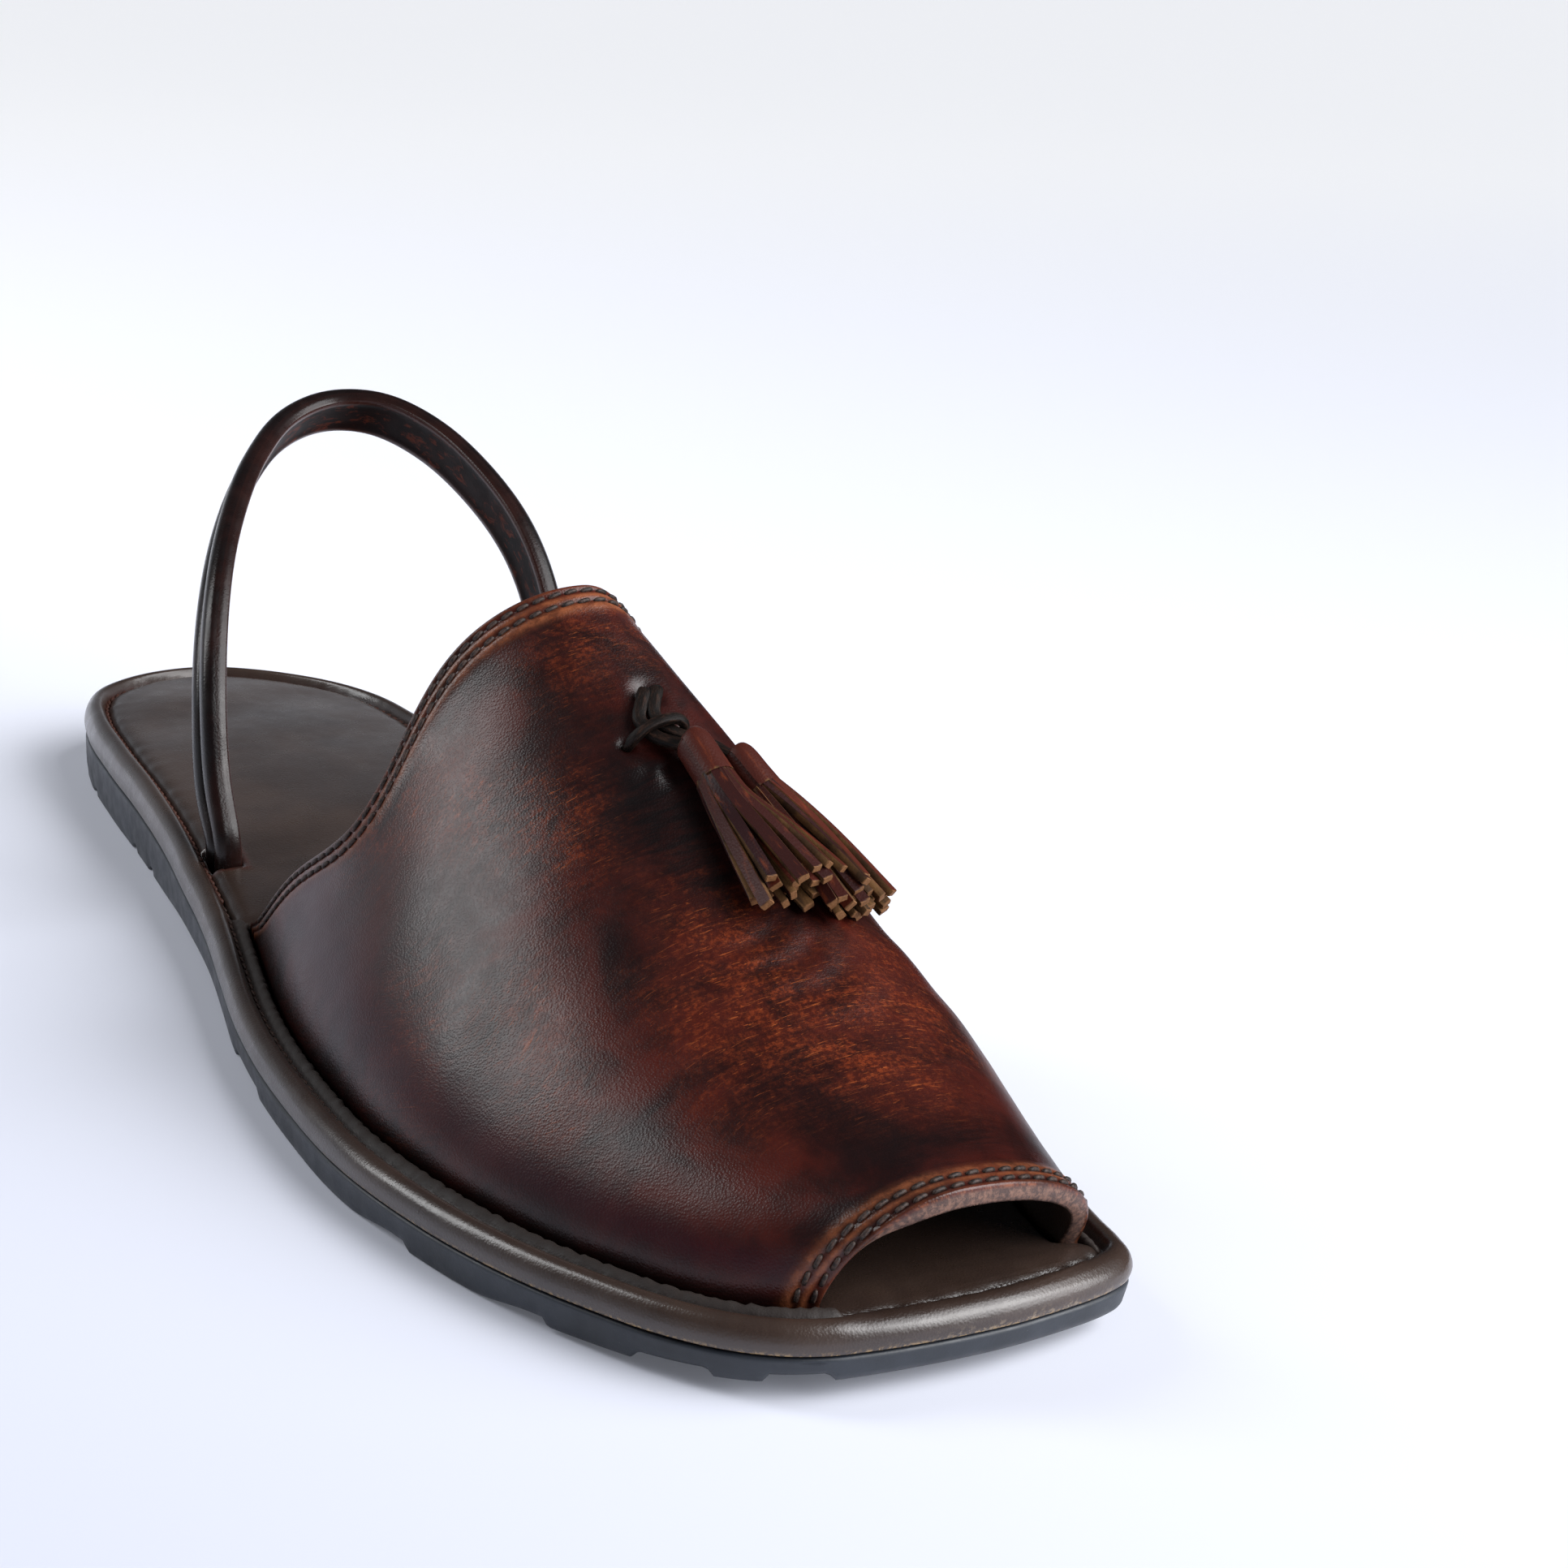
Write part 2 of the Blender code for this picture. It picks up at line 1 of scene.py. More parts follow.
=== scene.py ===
"""Dresses the packed sandal in leather, rubber and thread, in the part's own frame.

Shapes are worked out in stations of millimetres: u runs from the heel to the toe, x is positive on the
medial side and z is up from the floor. place() turns stations into the frame's metres.
"""

import math

import bmesh
import bpy
import numpy as np
from mathutils import Matrix, Vector


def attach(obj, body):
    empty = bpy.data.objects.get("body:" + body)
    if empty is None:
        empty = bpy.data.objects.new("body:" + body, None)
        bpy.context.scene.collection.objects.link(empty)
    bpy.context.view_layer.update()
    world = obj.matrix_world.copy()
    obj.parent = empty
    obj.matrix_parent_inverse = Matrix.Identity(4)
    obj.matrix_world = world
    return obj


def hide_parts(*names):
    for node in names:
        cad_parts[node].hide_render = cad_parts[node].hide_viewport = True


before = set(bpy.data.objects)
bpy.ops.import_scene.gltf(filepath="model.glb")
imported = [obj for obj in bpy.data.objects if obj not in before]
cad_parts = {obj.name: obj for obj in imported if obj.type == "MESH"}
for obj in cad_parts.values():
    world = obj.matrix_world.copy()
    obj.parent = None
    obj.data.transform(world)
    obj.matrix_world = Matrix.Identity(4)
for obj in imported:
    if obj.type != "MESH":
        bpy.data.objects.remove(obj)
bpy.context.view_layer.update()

# Lengths are in millimetres.
MM = 0.001
# Middle of the part's box, in stations.
MIDDLE_X = -2.7783
MIDDLE_U = 146.9252
# The upper's wall, and how far in from the outline the upper, the footbed and the strap begin.
WALL = 2.6
UPPER_INSET = 7.1
RAND_INSET = 4.5
STRAP_INSET = 7.6
STRAP_WIDTH = 9.8
STRAP_THICK = 4.5
LUG_WIDTH = 9.0
LUG_DEPTH = 1.1
# Top of the board under the footbed, over the rubber.
BOARD_TOP = 1.35
# Half the length of outline that its direction at a point is taken from.
NORMAL_REACH = 6.0
TAU = 2 * math.pi

# Seam between rubber and leather seen from above, from the back of the heel round the lateral side.
OUTLINE = [
    # u, x
    (1.0, 0.0), (2.2, -9.0), (5.8, -17.0), (12.3, -24.6), (20.0, -28.4), (28.0, -30.4), (48.5, -33.0),
    (74.3, -35.1), (92.0, -36.9), (111.7, -39.7), (131.4, -42.7), (150.0, -46.6), (162.3, -49.2),
    (178.0, -51.6), (196.0, -53.0), (215.0, -53.1), (230.0, -51.0), (243.4, -47.9), (257.3, -43.2),
    (266.0, -39.3), (275.4, -34.4), (281.0, -30.4), (285.7, -25.6), (288.4, -21.6), (290.3, -17.0),
    (291.4, -11.5), (292.3, -4.0), (292.8, 4.0), (292.8, 10.0), (292.4, 15.0), (291.9, 19.5),
    (291.2, 24.0), (290.3, 27.6), (288.9, 30.8), (286.8, 33.0), (283.2, 34.4), (277.0, 35.8),
    (270.0, 37.6), (262.0, 40.2), (252.0, 43.6), (243.0, 46.2), (232.0, 47.8), (212.0, 46.0),
    (192.0, 41.6), (175.0, 36.9), (160.0, 33.4), (140.0, 30.6),
    (120.0, 29.7), (100.0, 30.6), (80.0, 32.2), (60.0, 33.5), (45.0, 33.6), (31.0, 31.5), (20.5, 27.0),
    (12.5, 20.8), (5.8, 12.9), (2.2, 6.0),
]
TOE_POINT = (292.8, 8.0)

# Gaps between the lugs round the edge of the tread.
NOTCHES = [
    # start u, end u, length of the ramp at the start
    (33.0, 36.5, 0.9), (67.0, 70.0, 0.9), (79.5, 83.0, 0.9), (163.5, 180.0, 0.9), (224.0, 232.8, 12.0),
    (252.0, 259.6, 12.0), (272.7, 281.6, 0.9), (286.6, 290.4, 0.9),
]

# Ends of the two lines along which the upper meets the footbed, and of the strap.
UPPER_SPAN = {
    # side: (collar u, x), (toe u, x)
    "lateral": ((135.0, -43.3), (290.2, -17.2)),
    "medial": ((133.0, 30.2), (284.5, 34.0)),
}
STRAP_BASE = {
    # side: u, x on the outline
    "lateral": (108.5, -39.2),
    "medial": (108.0, 30.1),
}

# Crest of the upper and the fullness of its two flanks, from the collar (v 0) to the toe arch (v 1).
CREST = {
    "v": (0.0, 0.15, 0.35, 0.55, 0.75, 0.9, 1.0),
    "u": (174.0, 190.0, 211.5, 234.0, 259.0, 277.2, 289.0),
    "x": (2.0, 6.5, 9.8, 9.8, 6.8, 4.0, 1.8),
    "z": (76.5, 66.8, 54.3, 42.0, 31.8, 27.3, 26.2),
    "lateral": (1.02, 1.12, 1.2, 1.25, 1.2, 1.05, 1.08),
    "medial": (0.9, 0.8, 0.9, 1.05, 1.0, 0.82, 0.82),
    "lean": (0.72, 0.8, 0.9, 1.0, 1.0, 1.0, 1.0),
}
SCOOP = {"depth": 0.103, "at": 0.654, "width": 0.2}

STRAP_PATH = [
    # u, x, z
    (103.0, -31.3, 22.0), (96.0, -29.9, 35.8), (80.5, -23.7, 52.1), (62.7, -14.2, 62.6),
    (47.1, -3.8, 69.3), (36.9, 5.9, 73.8), (33.3, 15.5, 76.4), (36.6, 24.3, 76.6), (46.5, 30.9, 73.9),
    (61.8, 35.8, 67.8), (79.6, 38.9, 57.1), (94.0, 38.0, 41.0), (103.0, 30.5, 25.0),
]

# Stations of a tassel over the face of the upper: its thong, its bound head and its skirt.
TASSELS = {
    "tassel_left": {
        # v, w, lift
        "thong": [(0.184, -0.050, -0.4), (0.190, -0.056, 1.2), (0.210, -0.080, 1.4), (0.232, -0.098, 1.3),
                  (0.262, -0.089, 1.5), (0.284, -0.063, 2.2), (0.298, -0.050, 3.2)],
        # v, w, lift, half width, half thickness
        "head": [(0.290, -0.051, 3.1, 2.6, 2.6), (0.298, -0.049, 3.3, 3.0, 2.95),
                 (0.330, -0.049, 3.4, 3.1, 3.0), (0.356, -0.049, 3.5, 3.2, 3.0)],
        "skirt": [(0.352, -0.049, 3.4, 2.35, 2.3), (0.400, -0.048, 3.8, 3.4, 2.6),
                  (0.460, -0.032, 4.3, 5.8, 3.0), (0.545, -0.006, 4.7, 8.8, 3.2)],
        "seed": 11,
    },
    "tassel_right": {
        "thong": [(0.184, -0.036, -0.4), (0.190, -0.032, 1.2), (0.210, -0.054, 1.4), (0.232, -0.068, 1.3),
                  (0.262, -0.053, 1.5), (0.284, -0.015, 1.7), (0.302, 0.006, 2.0), (0.316, 0.016, 2.6),
                  (0.331, 0.025, 3.2)],
        "head": [(0.322, 0.022, 3.1, 2.5, 2.5), (0.330, 0.026, 3.3, 2.85, 2.85),
                 (0.358, 0.034, 3.4, 2.95, 2.9), (0.380, 0.045, 3.4, 3.05, 2.9)],
        "skirt": [(0.376, 0.042, 3.4, 2.25, 2.2), (0.420, 0.080, 3.5, 3.4, 2.5),
                  (0.480, 0.132, 3.5, 5.0, 2.7), (0.562, 0.190, 3.5, 7.4, 2.8)],
        "seed": 23,
    },
}
KEEPER_PATH = [
    # v, w, lift
    (0.254, -0.136, -0.9), (0.256, -0.132, 0.7), (0.256, -0.122, 2.0), (0.252, -0.100, 2.8),
    (0.250, -0.070, 3.2), (0.250, -0.045, 3.0), (0.253, -0.032, 2.2), (0.255, -0.028, 0.9),
    (0.256, -0.027, -0.7),
]
KEEPER_RADIUS = 0.85

# Strips of a skirt, outer layer first.
STRIP_LAYERS = [
    # count, share of the skirt's radius, width, thickness
    (13, 1.0, 1.8, 1.15), (9, 0.62, 1.8, 1.15), (5, 0.28, 1.7, 1.1),
]

# Rows of stitches beside the two cut edges of the upper, by their distance from the edge.
EDGE_ROWS = (1.3, 3.5)

# Patches of colour on the upper, by station: the amber ones as the burnishing left them; the dark ones are
# dye clouds, and those under and beside the tassels are painted shadow.
AMBER = [
    # u, x, reach along, reach across, strength
    (207.0, -16.0, 9.0, 7.0, 0.9), (228.0, -3.0, 9.0, 6.5, 1.0), (246.0, -4.0, 12.0, 8.0, 0.8),
    (252.0, 4.0, 11.0, 9.0, 0.8), (262.0, 9.0, 10.0, 9.0, 0.7), (256.0, -14.0, 10.0, 6.0, 0.5),
    (240.0, -15.0, 7.0, 5.0, 0.6),
    (183.0, -4.0, 8.0, 8.0, 0.6), (180.0, 10.0, 8.0, 8.0, 0.6), (246.0, 21.0, 12.0, 9.0, 0.8),
    (180.0, -31.0, 10.0, 6.0, 0.8), (208.0, -38.0, 9.0, 5.0, 0.75), (226.0, -31.0, 9.0, 6.0, 0.6),
    (192.0, -24.0, 10.0, 5.0, 0.7), (217.0, -43.0, 9.0, 4.0, 0.6), (240.0, -33.0, 9.0, 5.0, 0.6),
    (200.0, 28.0, 10.0, 7.0, 0.6), (224.0, 34.0, 12.0, 8.0, 0.7), (258.0, 32.0, 10.0, 7.0, 0.6),
]
# Dark dye clouds; the ones under and beside the tassels are painted shadow cast by the tassels.
DARK_DYE_AND_SHADE = [
    (216.0, -4.0, 8.0, 6.5, 1.0), (210.0, 5.0, 8.0, 7.0, 0.9), (207.0, -4.0, 6.0, 5.0, 0.7),
    (204.0, -33.0, 11.0, 6.0, 0.75), (231.0, -19.0, 9.0, 5.0, 0.35), (224.0, 1.0, 8.0, 7.0, 0.9),
    (277.0, 16.0, 5.0, 10.0, 0.75), (278.0, 2.0, 4.5, 9.0, 0.6), (182.0, -37.0, 8.0, 6.0, 0.7),
    (187.0, 26.0, 9.0, 7.0, 0.6), (239.0, 37.0, 9.0, 6.0, 0.7), (271.0, 28.0, 8.0, 6.0, 0.5),
]

# Soft creases and dents worn into the upper.
CREASES = [
    # start u, x, end u, x, width, depth
    (237.0, -7.0, 231.0, 9.0, 1.3, 0.14), (241.0, -5.0, 236.0, 13.0, 1.5, 0.16),
    (247.0, -3.0, 240.0, 16.0, 1.8, 0.14), (229.0, -15.0, 236.0, -5.0, 2.0, 0.08),
    (254.0, 1.0, 247.0, 20.0, 2.2, 0.12), (233.0, 14.0, 226.0, 30.0, 2.0, 0.16),
    (243.0, 20.0, 234.0, 35.0, 2.4, 0.16),
]
DENTS = [
    # v, w, reach, depth, which is below 0 for a bulge
    (0.183, -0.043, 1.9, 1.5), (0.254, -0.138, 0.9, 1.1), (0.256, -0.024, 0.9, 0.9),
    (0.308, -0.096, 2.2, 0.5), (0.172, -0.062, 3.0, -0.07), (0.275, -0.190, 5.0, 0.3),
    (0.303, -0.114, 2.6, -1.0),
]
# A dent deeper than this is a hole, with painted shade inside.
HOLE_DEPTH = 0.8

# The camera's turns in radians, its focal length and frame in pixels, and its place in stations.
CAMERA_PITCH, CAMERA_HEAD, CAMERA_ROLL = 0.3120253, 0.5655829, 0.0863950
CAMERA_FOCAL, CAMERA_FRAME = 3351.72, 1932.0
CAMERA_SPOT = (539.634, -189.801, 179.646)
SENSOR = 36.0

# Studio lights in the frame's metres.
SUN = {"towards": (0.6, -0.54, 0.56), "strength": 4.25, "spread": 62.0, "tint": (0.97, 0.98, 1.0)}
BOXES = {
    # place, target, size, power, tint
    "sheen_box": ((-0.68, 0.5, 0.72), (0.0, -0.04, 0.04), (0.27, 0.74), 4.7, (0.97, 0.985, 1.0)),
    "front_box": ((0.42, -0.62, 0.5), (0.0, -0.14, 0.015), (0.4, 0.4), 2.6, (1.0, 0.99, 0.98)),
}
SKY_TINT = (0.86, 0.91, 1.0, 1.0)
# The sky's strength falls from the horizon's to the overhead one between two sines of elevation.
SKY_FADE = {"From Min": 0.0, "From Max": 0.55, "To Min": 0.54, "To Max": 0.06}


def spline(knots, values, at):
    """Cubic curve through the values, with the slope at each knot taken from its two neighbours."""
    knots = np.asarray(knots, float)
    values = np.asarray(values, float)
    slope = np.gradient(values, knots, axis=0)
    at = np.clip(np.asarray(at, float), knots[0], knots[-1])
    low = np.clip(np.searchsorted(knots, at) - 1, 0, len(knots) - 2)
    step = knots[low + 1] - knots[low]
    k = (at - knots[low]) / step
    if values.ndim > 1:
        k = k[..., None]
        step = step[..., None]
    start = values[low] * (1 + 2 * k) * (1 - k) ** 2 + slope[low] * step * k * (1 - k) ** 2
    end = values[low + 1] * k * k * (3 - 2 * k) + slope[low + 1] * step * k * k * (k - 1)
    return start + end


def smooth(k):
    """Soft step from 0 to 1."""
    k = np.clip(k, 0.0, 1.0)
    return k * k * (3 - 2 * k)


def bell(distance, reach):
    """Soft mound, 1 at its middle."""
    return np.exp(-((distance / reach) ** 2))


def unit(vectors):
    """Vectors brought to length 1."""
    return vectors / np.maximum(np.linalg.norm(vectors, axis=-1, keepdims=True), 1e-9)


def ripple(s, pitch, seed):
    """Uneven wave along s: three sines of nearly one pitch, with phases drawn from the seed."""
    phase = np.random.default_rng(seed).uniform(0, TAU, 3)
    waves = [np.sin(TAU * s / (pitch * f) + p) for f, p in zip((0.81, 1.0, 1.31), phase)]
    return sum(waves) / 2.0


def run_length(points):
    """Length along a path up to each of its points."""
    return np.concatenate([[0.0], np.cumsum(np.linalg.norm(np.diff(points, axis=0), axis=1))])


def sample(at, length, points):
    """Points of a path at lengths along it."""
    return np.stack([np.interp(at, length, column) for column in np.transpose(points)], -1)


def through(stations, at):
    """Cubic curve through evenly numbered stations."""
    return spline(np.arange(len(stations)), stations, at)


def closed_curve(points, count):
    """Closed curve through the points, sampled evenly along its length."""
    ring = np.array(points[-3:] + points + points[:3], float)
    knots = run_length(ring)
    dense = spline(knots, ring, np.linspace(knots[3], knots[-3], count * 4))
    length = run_length(dense)
    at = np.linspace(0.0, length[-1], count + 1)
    return at, sample(at, length, dense)


EDGE_S, EDGE = closed_curve(OUTLINE, 2400)
EDGE_LENGTH = EDGE_S[-1]


def edge_at(s):
    """Outline points and their inward normals at arc lengths s."""
    point, ahead, behind = (sample(np.mod(s + step, EDGE_LENGTH), EDGE_S, EDGE)
                            for step in (0.0, NORMAL_REACH, -NORMAL_REACH))
    along = unit(ahead - behind)
    return point, np.stack([-along[..., 1], along[..., 0]], -1)


def edge_near(point):
    """Arc length of the outline point nearest to a plan position."""
    return EDGE_S[int(np.argmin(np.linalg.norm(EDGE - point, axis=1)))]


TOE_S = edge_near(TOE_POINT)

# The ring of stations round the sole: up the lateral side to the toe, then back down the medial side.
HALF = 430
SHARE = np.linspace(0.0, 1.0, HALF)
RING_SHARE = np.concatenate([SHARE, SHARE[-2:0:-1]])
RING = np.concatenate([SHARE * TOE_S, EDGE_LENGTH - SHARE[-2:0:-1] * (EDGE_LENGTH - TOE_S)])
RING_POINT, RING_NORMAL = edge_at(RING)
RING_U = RING_POINT[:, 0]


def seam_height(u):
    """Height of the top of the rubber."""
    return 9.2 - 4.0 * smooth((u - 60.0) / 130.0) + 2.3 * (np.clip(u - 225.0, 0.0, 90.0) / 75.0) ** 2


def rim_height(u):
    """Height of the rolled rand over the rubber."""
    return 6.2 - 1.9 * smooth((u - 60.0) / 110.0)


def tread_height(u):
    """Underside of the lugs: flat at heel and forefoot, raised under the arch and at the toe."""
    arch = 1.2 * smooth((u - 88.0) / 25.0) * smooth((165.0 - u) / 25.0)
    spring = 3.3 * (np.clip(u - 240.0, 0.0, 60.0) / 52.0) ** 2
    return arch + spring


def inset(distance):
    """The ring moved inwards, by one distance or by one for each station."""
    return RING_POINT + RING_NORMAL * np.broadcast_to(distance, RING.shape)[:, None]


def layers(insets, heights):
    """Rings stacked into a grid: row i is the ring moved in by insets[i] at heights[i]."""
    rows = []
    for d, z in zip(insets, heights):
        rows.append(np.column_stack([inset(d), np.broadcast_to(z, RING.shape)]))
    return np.array(rows)


def across(ring, columns):
    """Grid from each lateral point of a ring to the medial one that it faces."""
    lateral = ring[:HALF]
    medial = ring[(len(ring) - np.arange(HALF)) % len(ring)]
    t = np.linspace(0.0, 1.0, columns)
    t = 0.45 * t + 0.55 * (0.5 - 0.5 * np.cos(math.pi * t))
    return lateral[:, None] + (medial - lateral)[:, None] * t[None, :, None]


def beside_upper(ramp, margin):
    """1 at the stations beside the upper's foot, easing to 0 past its ends."""
    result = np.zeros(len(RING))
    for ends in UPPER_SPAN.values():
        low, high = sorted(edge_near(p) for p in ends)
        rise = smooth((RING - low + margin + ramp) / ramp)
        result = np.maximum(result, rise * smooth((high + margin + ramp - RING) / ramp))
    return result


def strap_slit(points):
    """1 inside the slits that the strap comes up through, and a soft band round their rims."""
    inside = np.zeros(points.shape[:2])
    lips = np.zeros(points.shape[:2])
    for base in STRAP_BASE.values():
        point, normal = edge_at(edge_near(base))
        offset = points[..., :2] - (point + normal * STRAP_INSET)
        through = np.abs(offset @ normal) - STRAP_THICK / 2
        over = np.abs(offset @ np.array([normal[1], -normal[0]])) - STRAP_WIDTH * 0.4
        away = np.maximum(through, over)
        inside = np.maximum(inside, smooth((0.55 - away) / 0.6))
        lips = np.maximum(lips, bell(away - 1.1, 0.7))
    return inside, lips


def notch_cut(edge):
    """1 between the lugs and 0 under them: a gap has its own ramp at its start and ends over edge."""
    side = EDGE_S < TOE_S
    result = np.zeros(len(RING))
    at = RING_SHARE * TOE_S
    for start, end, ramp in NOTCHES:
        low, high = np.interp((start, end), EDGE[side, 0], EDGE_S[side])
        result = np.maximum(result, smooth((at - low) / ramp + 0.5) * smooth((high - at) / edge + 0.5))
    return result


def foot_line(side, v):
    """Plan points and inward normals of the line where the upper's outer face meets the footbed."""
    start, end = (edge_near(p) for p in UPPER_SPAN[side])
    point, normal = edge_at(start + (end - start) * v)
    return point + normal * UPPER_INSET, normal


def upper_point(v, w):
    """Outer face of the upper: v from collar to toe arch, w from lateral foot over the crest to medial.

    At each v a section springs from the foot to the crest: across by the sine of the angle w spans, up by
    a power of its cosine, with the crest's place and the powers carried along v on splines. The collar is
    cut back on both flanks by a soft scoop.
    """
    side = np.abs(w)
    depth, at, width = SCOOP["depth"], SCOOP["at"], SCOOP["width"]
    back = depth * np.exp(-((side - at) / width) ** 2) * (1 - side ** 6)
    back = back - depth * math.exp(-((at / width) ** 2)) * (1 - side) ** 2
    v = np.clip(back + (1 - back) * v, 0.0, 1.0)
    crest = {name: spline(CREST["v"], CREST[name], v) for name in CREST}
    full = np.where(w < 0, crest["lateral"], crest["medial"])
    foot = np.where((w < 0)[..., None], foot_line("lateral", v)[0], foot_line("medial", v)[0])
    angle = side * math.pi / 2
    rise = np.maximum(np.cos(angle), 0.0) ** full
    low = seam_height(foot[..., 0]) + rim_height(foot[..., 0]) - 0.5
    u = foot[..., 0] + (crest["u"] - foot[..., 0]) * rise ** crest["lean"]
    x = crest["x"] + (foot[..., 1] - crest["x"]) * np.sin(angle)
    return np.stack([u, x, low + (crest["z"] - low) * rise], -1)


def upper_normal(v, w):
    """Outward unit normal of the upper's outer face, from its slopes along v and w."""
    step = 0.004
    v = np.clip(v, step, 1 - step)
    w = np.clip(w, -1 + 2 * step, 1 - 2 * step)
    along = upper_point(v + step, w) - upper_point(v - step, w)
    over = upper_point(v, w + step) - upper_point(v, w - step)
    return unit(np.cross(along, over))


def over_upper(table):
    """Points at a lift over the upper's face for rows of (v, w, lift), and the face's normals there."""
    table = np.asarray(table, float)
    normal = upper_normal(table[:, 0], table[:, 1])
    return upper_point(table[:, 0], table[:, 1]) + normal * table[:, 2:3], normal


def place(points):
    """Stations to the frame: X is x and Y is -u from the middle of the part's box, in metres."""
    points = np.asarray(points, float)
    return np.stack([points[..., 1] - MIDDLE_X, MIDDLE_U - points[..., 0], points[..., 2]], -1) * MM


def chart(over, along):
    """UV places in metres of a grid, from lengths over its columns and along its rows."""
    return np.stack(np.broadcast_arrays(over[None] * MM, along[:, None] * MM), -1)


def quads(rows, cols, wrap):
    """Corners of the quads that join a table of points; wrap closes each row."""
    i, j = np.meshgrid(np.arange(rows - 1), np.arange(cols if wrap else cols - 1), indexing="ij")
    k = (j + 1) % cols
    this, after = i * cols, (i + 1) * cols
    return np.stack([this + j, this + k, after + k, after + j], -1).reshape(-1, 4)


class Skin:
    """Grids of points that make up one piece, with named values at each point."""

    def __init__(self):
        self.points = []
        self.faces = []
        self.values = []
        self.uv = []
        self.count = 0

    def add(self, points, faces, uv, values):
        """Keep a table of points with its faces, UV places and named values."""
        shape = points.shape[:-1]
        size = math.prod(shape)
        self.faces.append(faces + self.count)
        self.points.append(points.reshape(-1, 3))
        self.uv.append(np.zeros((size, 2)) if uv is None else np.asarray(uv, float).reshape(-1, 2))
        self.values.append({n: np.broadcast_to(v, shape).ravel() for n, v in values.items()})
        self.count += size

    def grid(self, points, wrap=False, uv=None, **values):
        """Add a table of points, rows by columns, joined by quads; wrap closes each row."""
        rows, cols = points.shape[:2]
        self.add(points, quads(rows, cols, wrap), uv, values)

    def many(self, tables, **values):
        """Add the same grid many times: tables is items by rows by columns, each row closed."""
        items, rows, cols = tables.shape[:3]
        start = np.arange(items)[:, None, None] * rows * cols
        self.add(tables, (quads(rows, cols, True)[None] + start).reshape(-1, 4), None, values)

    def cap(self, ring, centre, wrap=True, **values):
        """Close a row of points with a fan to one point."""
        self.grid(np.array([ring, np.broadcast_to(centre, ring.shape)]), wrap=wrap, **values)

    def piece(self, name, material, *nodes, sharp=180.0):
        """Make the object, weld its seams, turn its faces outwards and set it in the frame.

        Edges that bend by more than sharp degrees stay crisp.
        """
        points = place(np.concatenate(self.points))
        faces = np.concatenate(self.faces)
        mesh = bpy.data.meshes.new(name)
        mesh.vertices.add(len(points))
        mesh.vertices.foreach_set("co", points.ravel())
        mesh.loops.add(faces.size)
        mesh.loops.foreach_set("vertex_index", faces.ravel().astype(np.int32))
        mesh.polygons.add(len(faces))
        mesh.polygons.foreach_set("loop_start", np.arange(0, faces.size, 4, dtype=np.int32))
        mesh.polygons.foreach_set("loop_total", np.full(len(faces), 4, np.int32))
        mesh.update(calc_edges=True)
        names = sorted({n for v in self.values for n in v})
        for label in names:
            parts = [v.get(label, np.zeros(len(p))) for v, p in zip(self.values, self.points)]
            layer = mesh.attributes.new(label, "FLOAT", "POINT")
            layer.data.foreach_set("value", np.concatenate(parts).astype(np.float32))
        uv = mesh.uv_layers.new(name="UVMap")
        uv.data.foreach_set("uv", np.concatenate(self.uv)[faces.ravel()].ravel().astype(np.float32))
        edit = bmesh.new()
        edit.from_mesh(mesh)
        bmesh.ops.remove_doubles(edit, verts=edit.verts, dist=2e-6)
        bmesh.ops.dissolve_degenerate(edit, edges=edit.edges, dist=1e-7)
        bmesh.ops.recalc_face_normals(edit, faces=edit.faces)
        edit.to_mesh(mesh)
        edit.free()
        mesh.polygons.foreach_set("use_smooth", np.ones(len(mesh.polygons), bool))
        mesh.set_sharp_from_angle(angle=math.radians(sharp))
        mesh.materials.append(material)
        piece = bpy.data.objects.new(name, mesh)
        bpy.context.scene.collection.objects.link(piece)
        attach(piece, "root")
        if nodes:
            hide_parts(*nodes)
        return piece


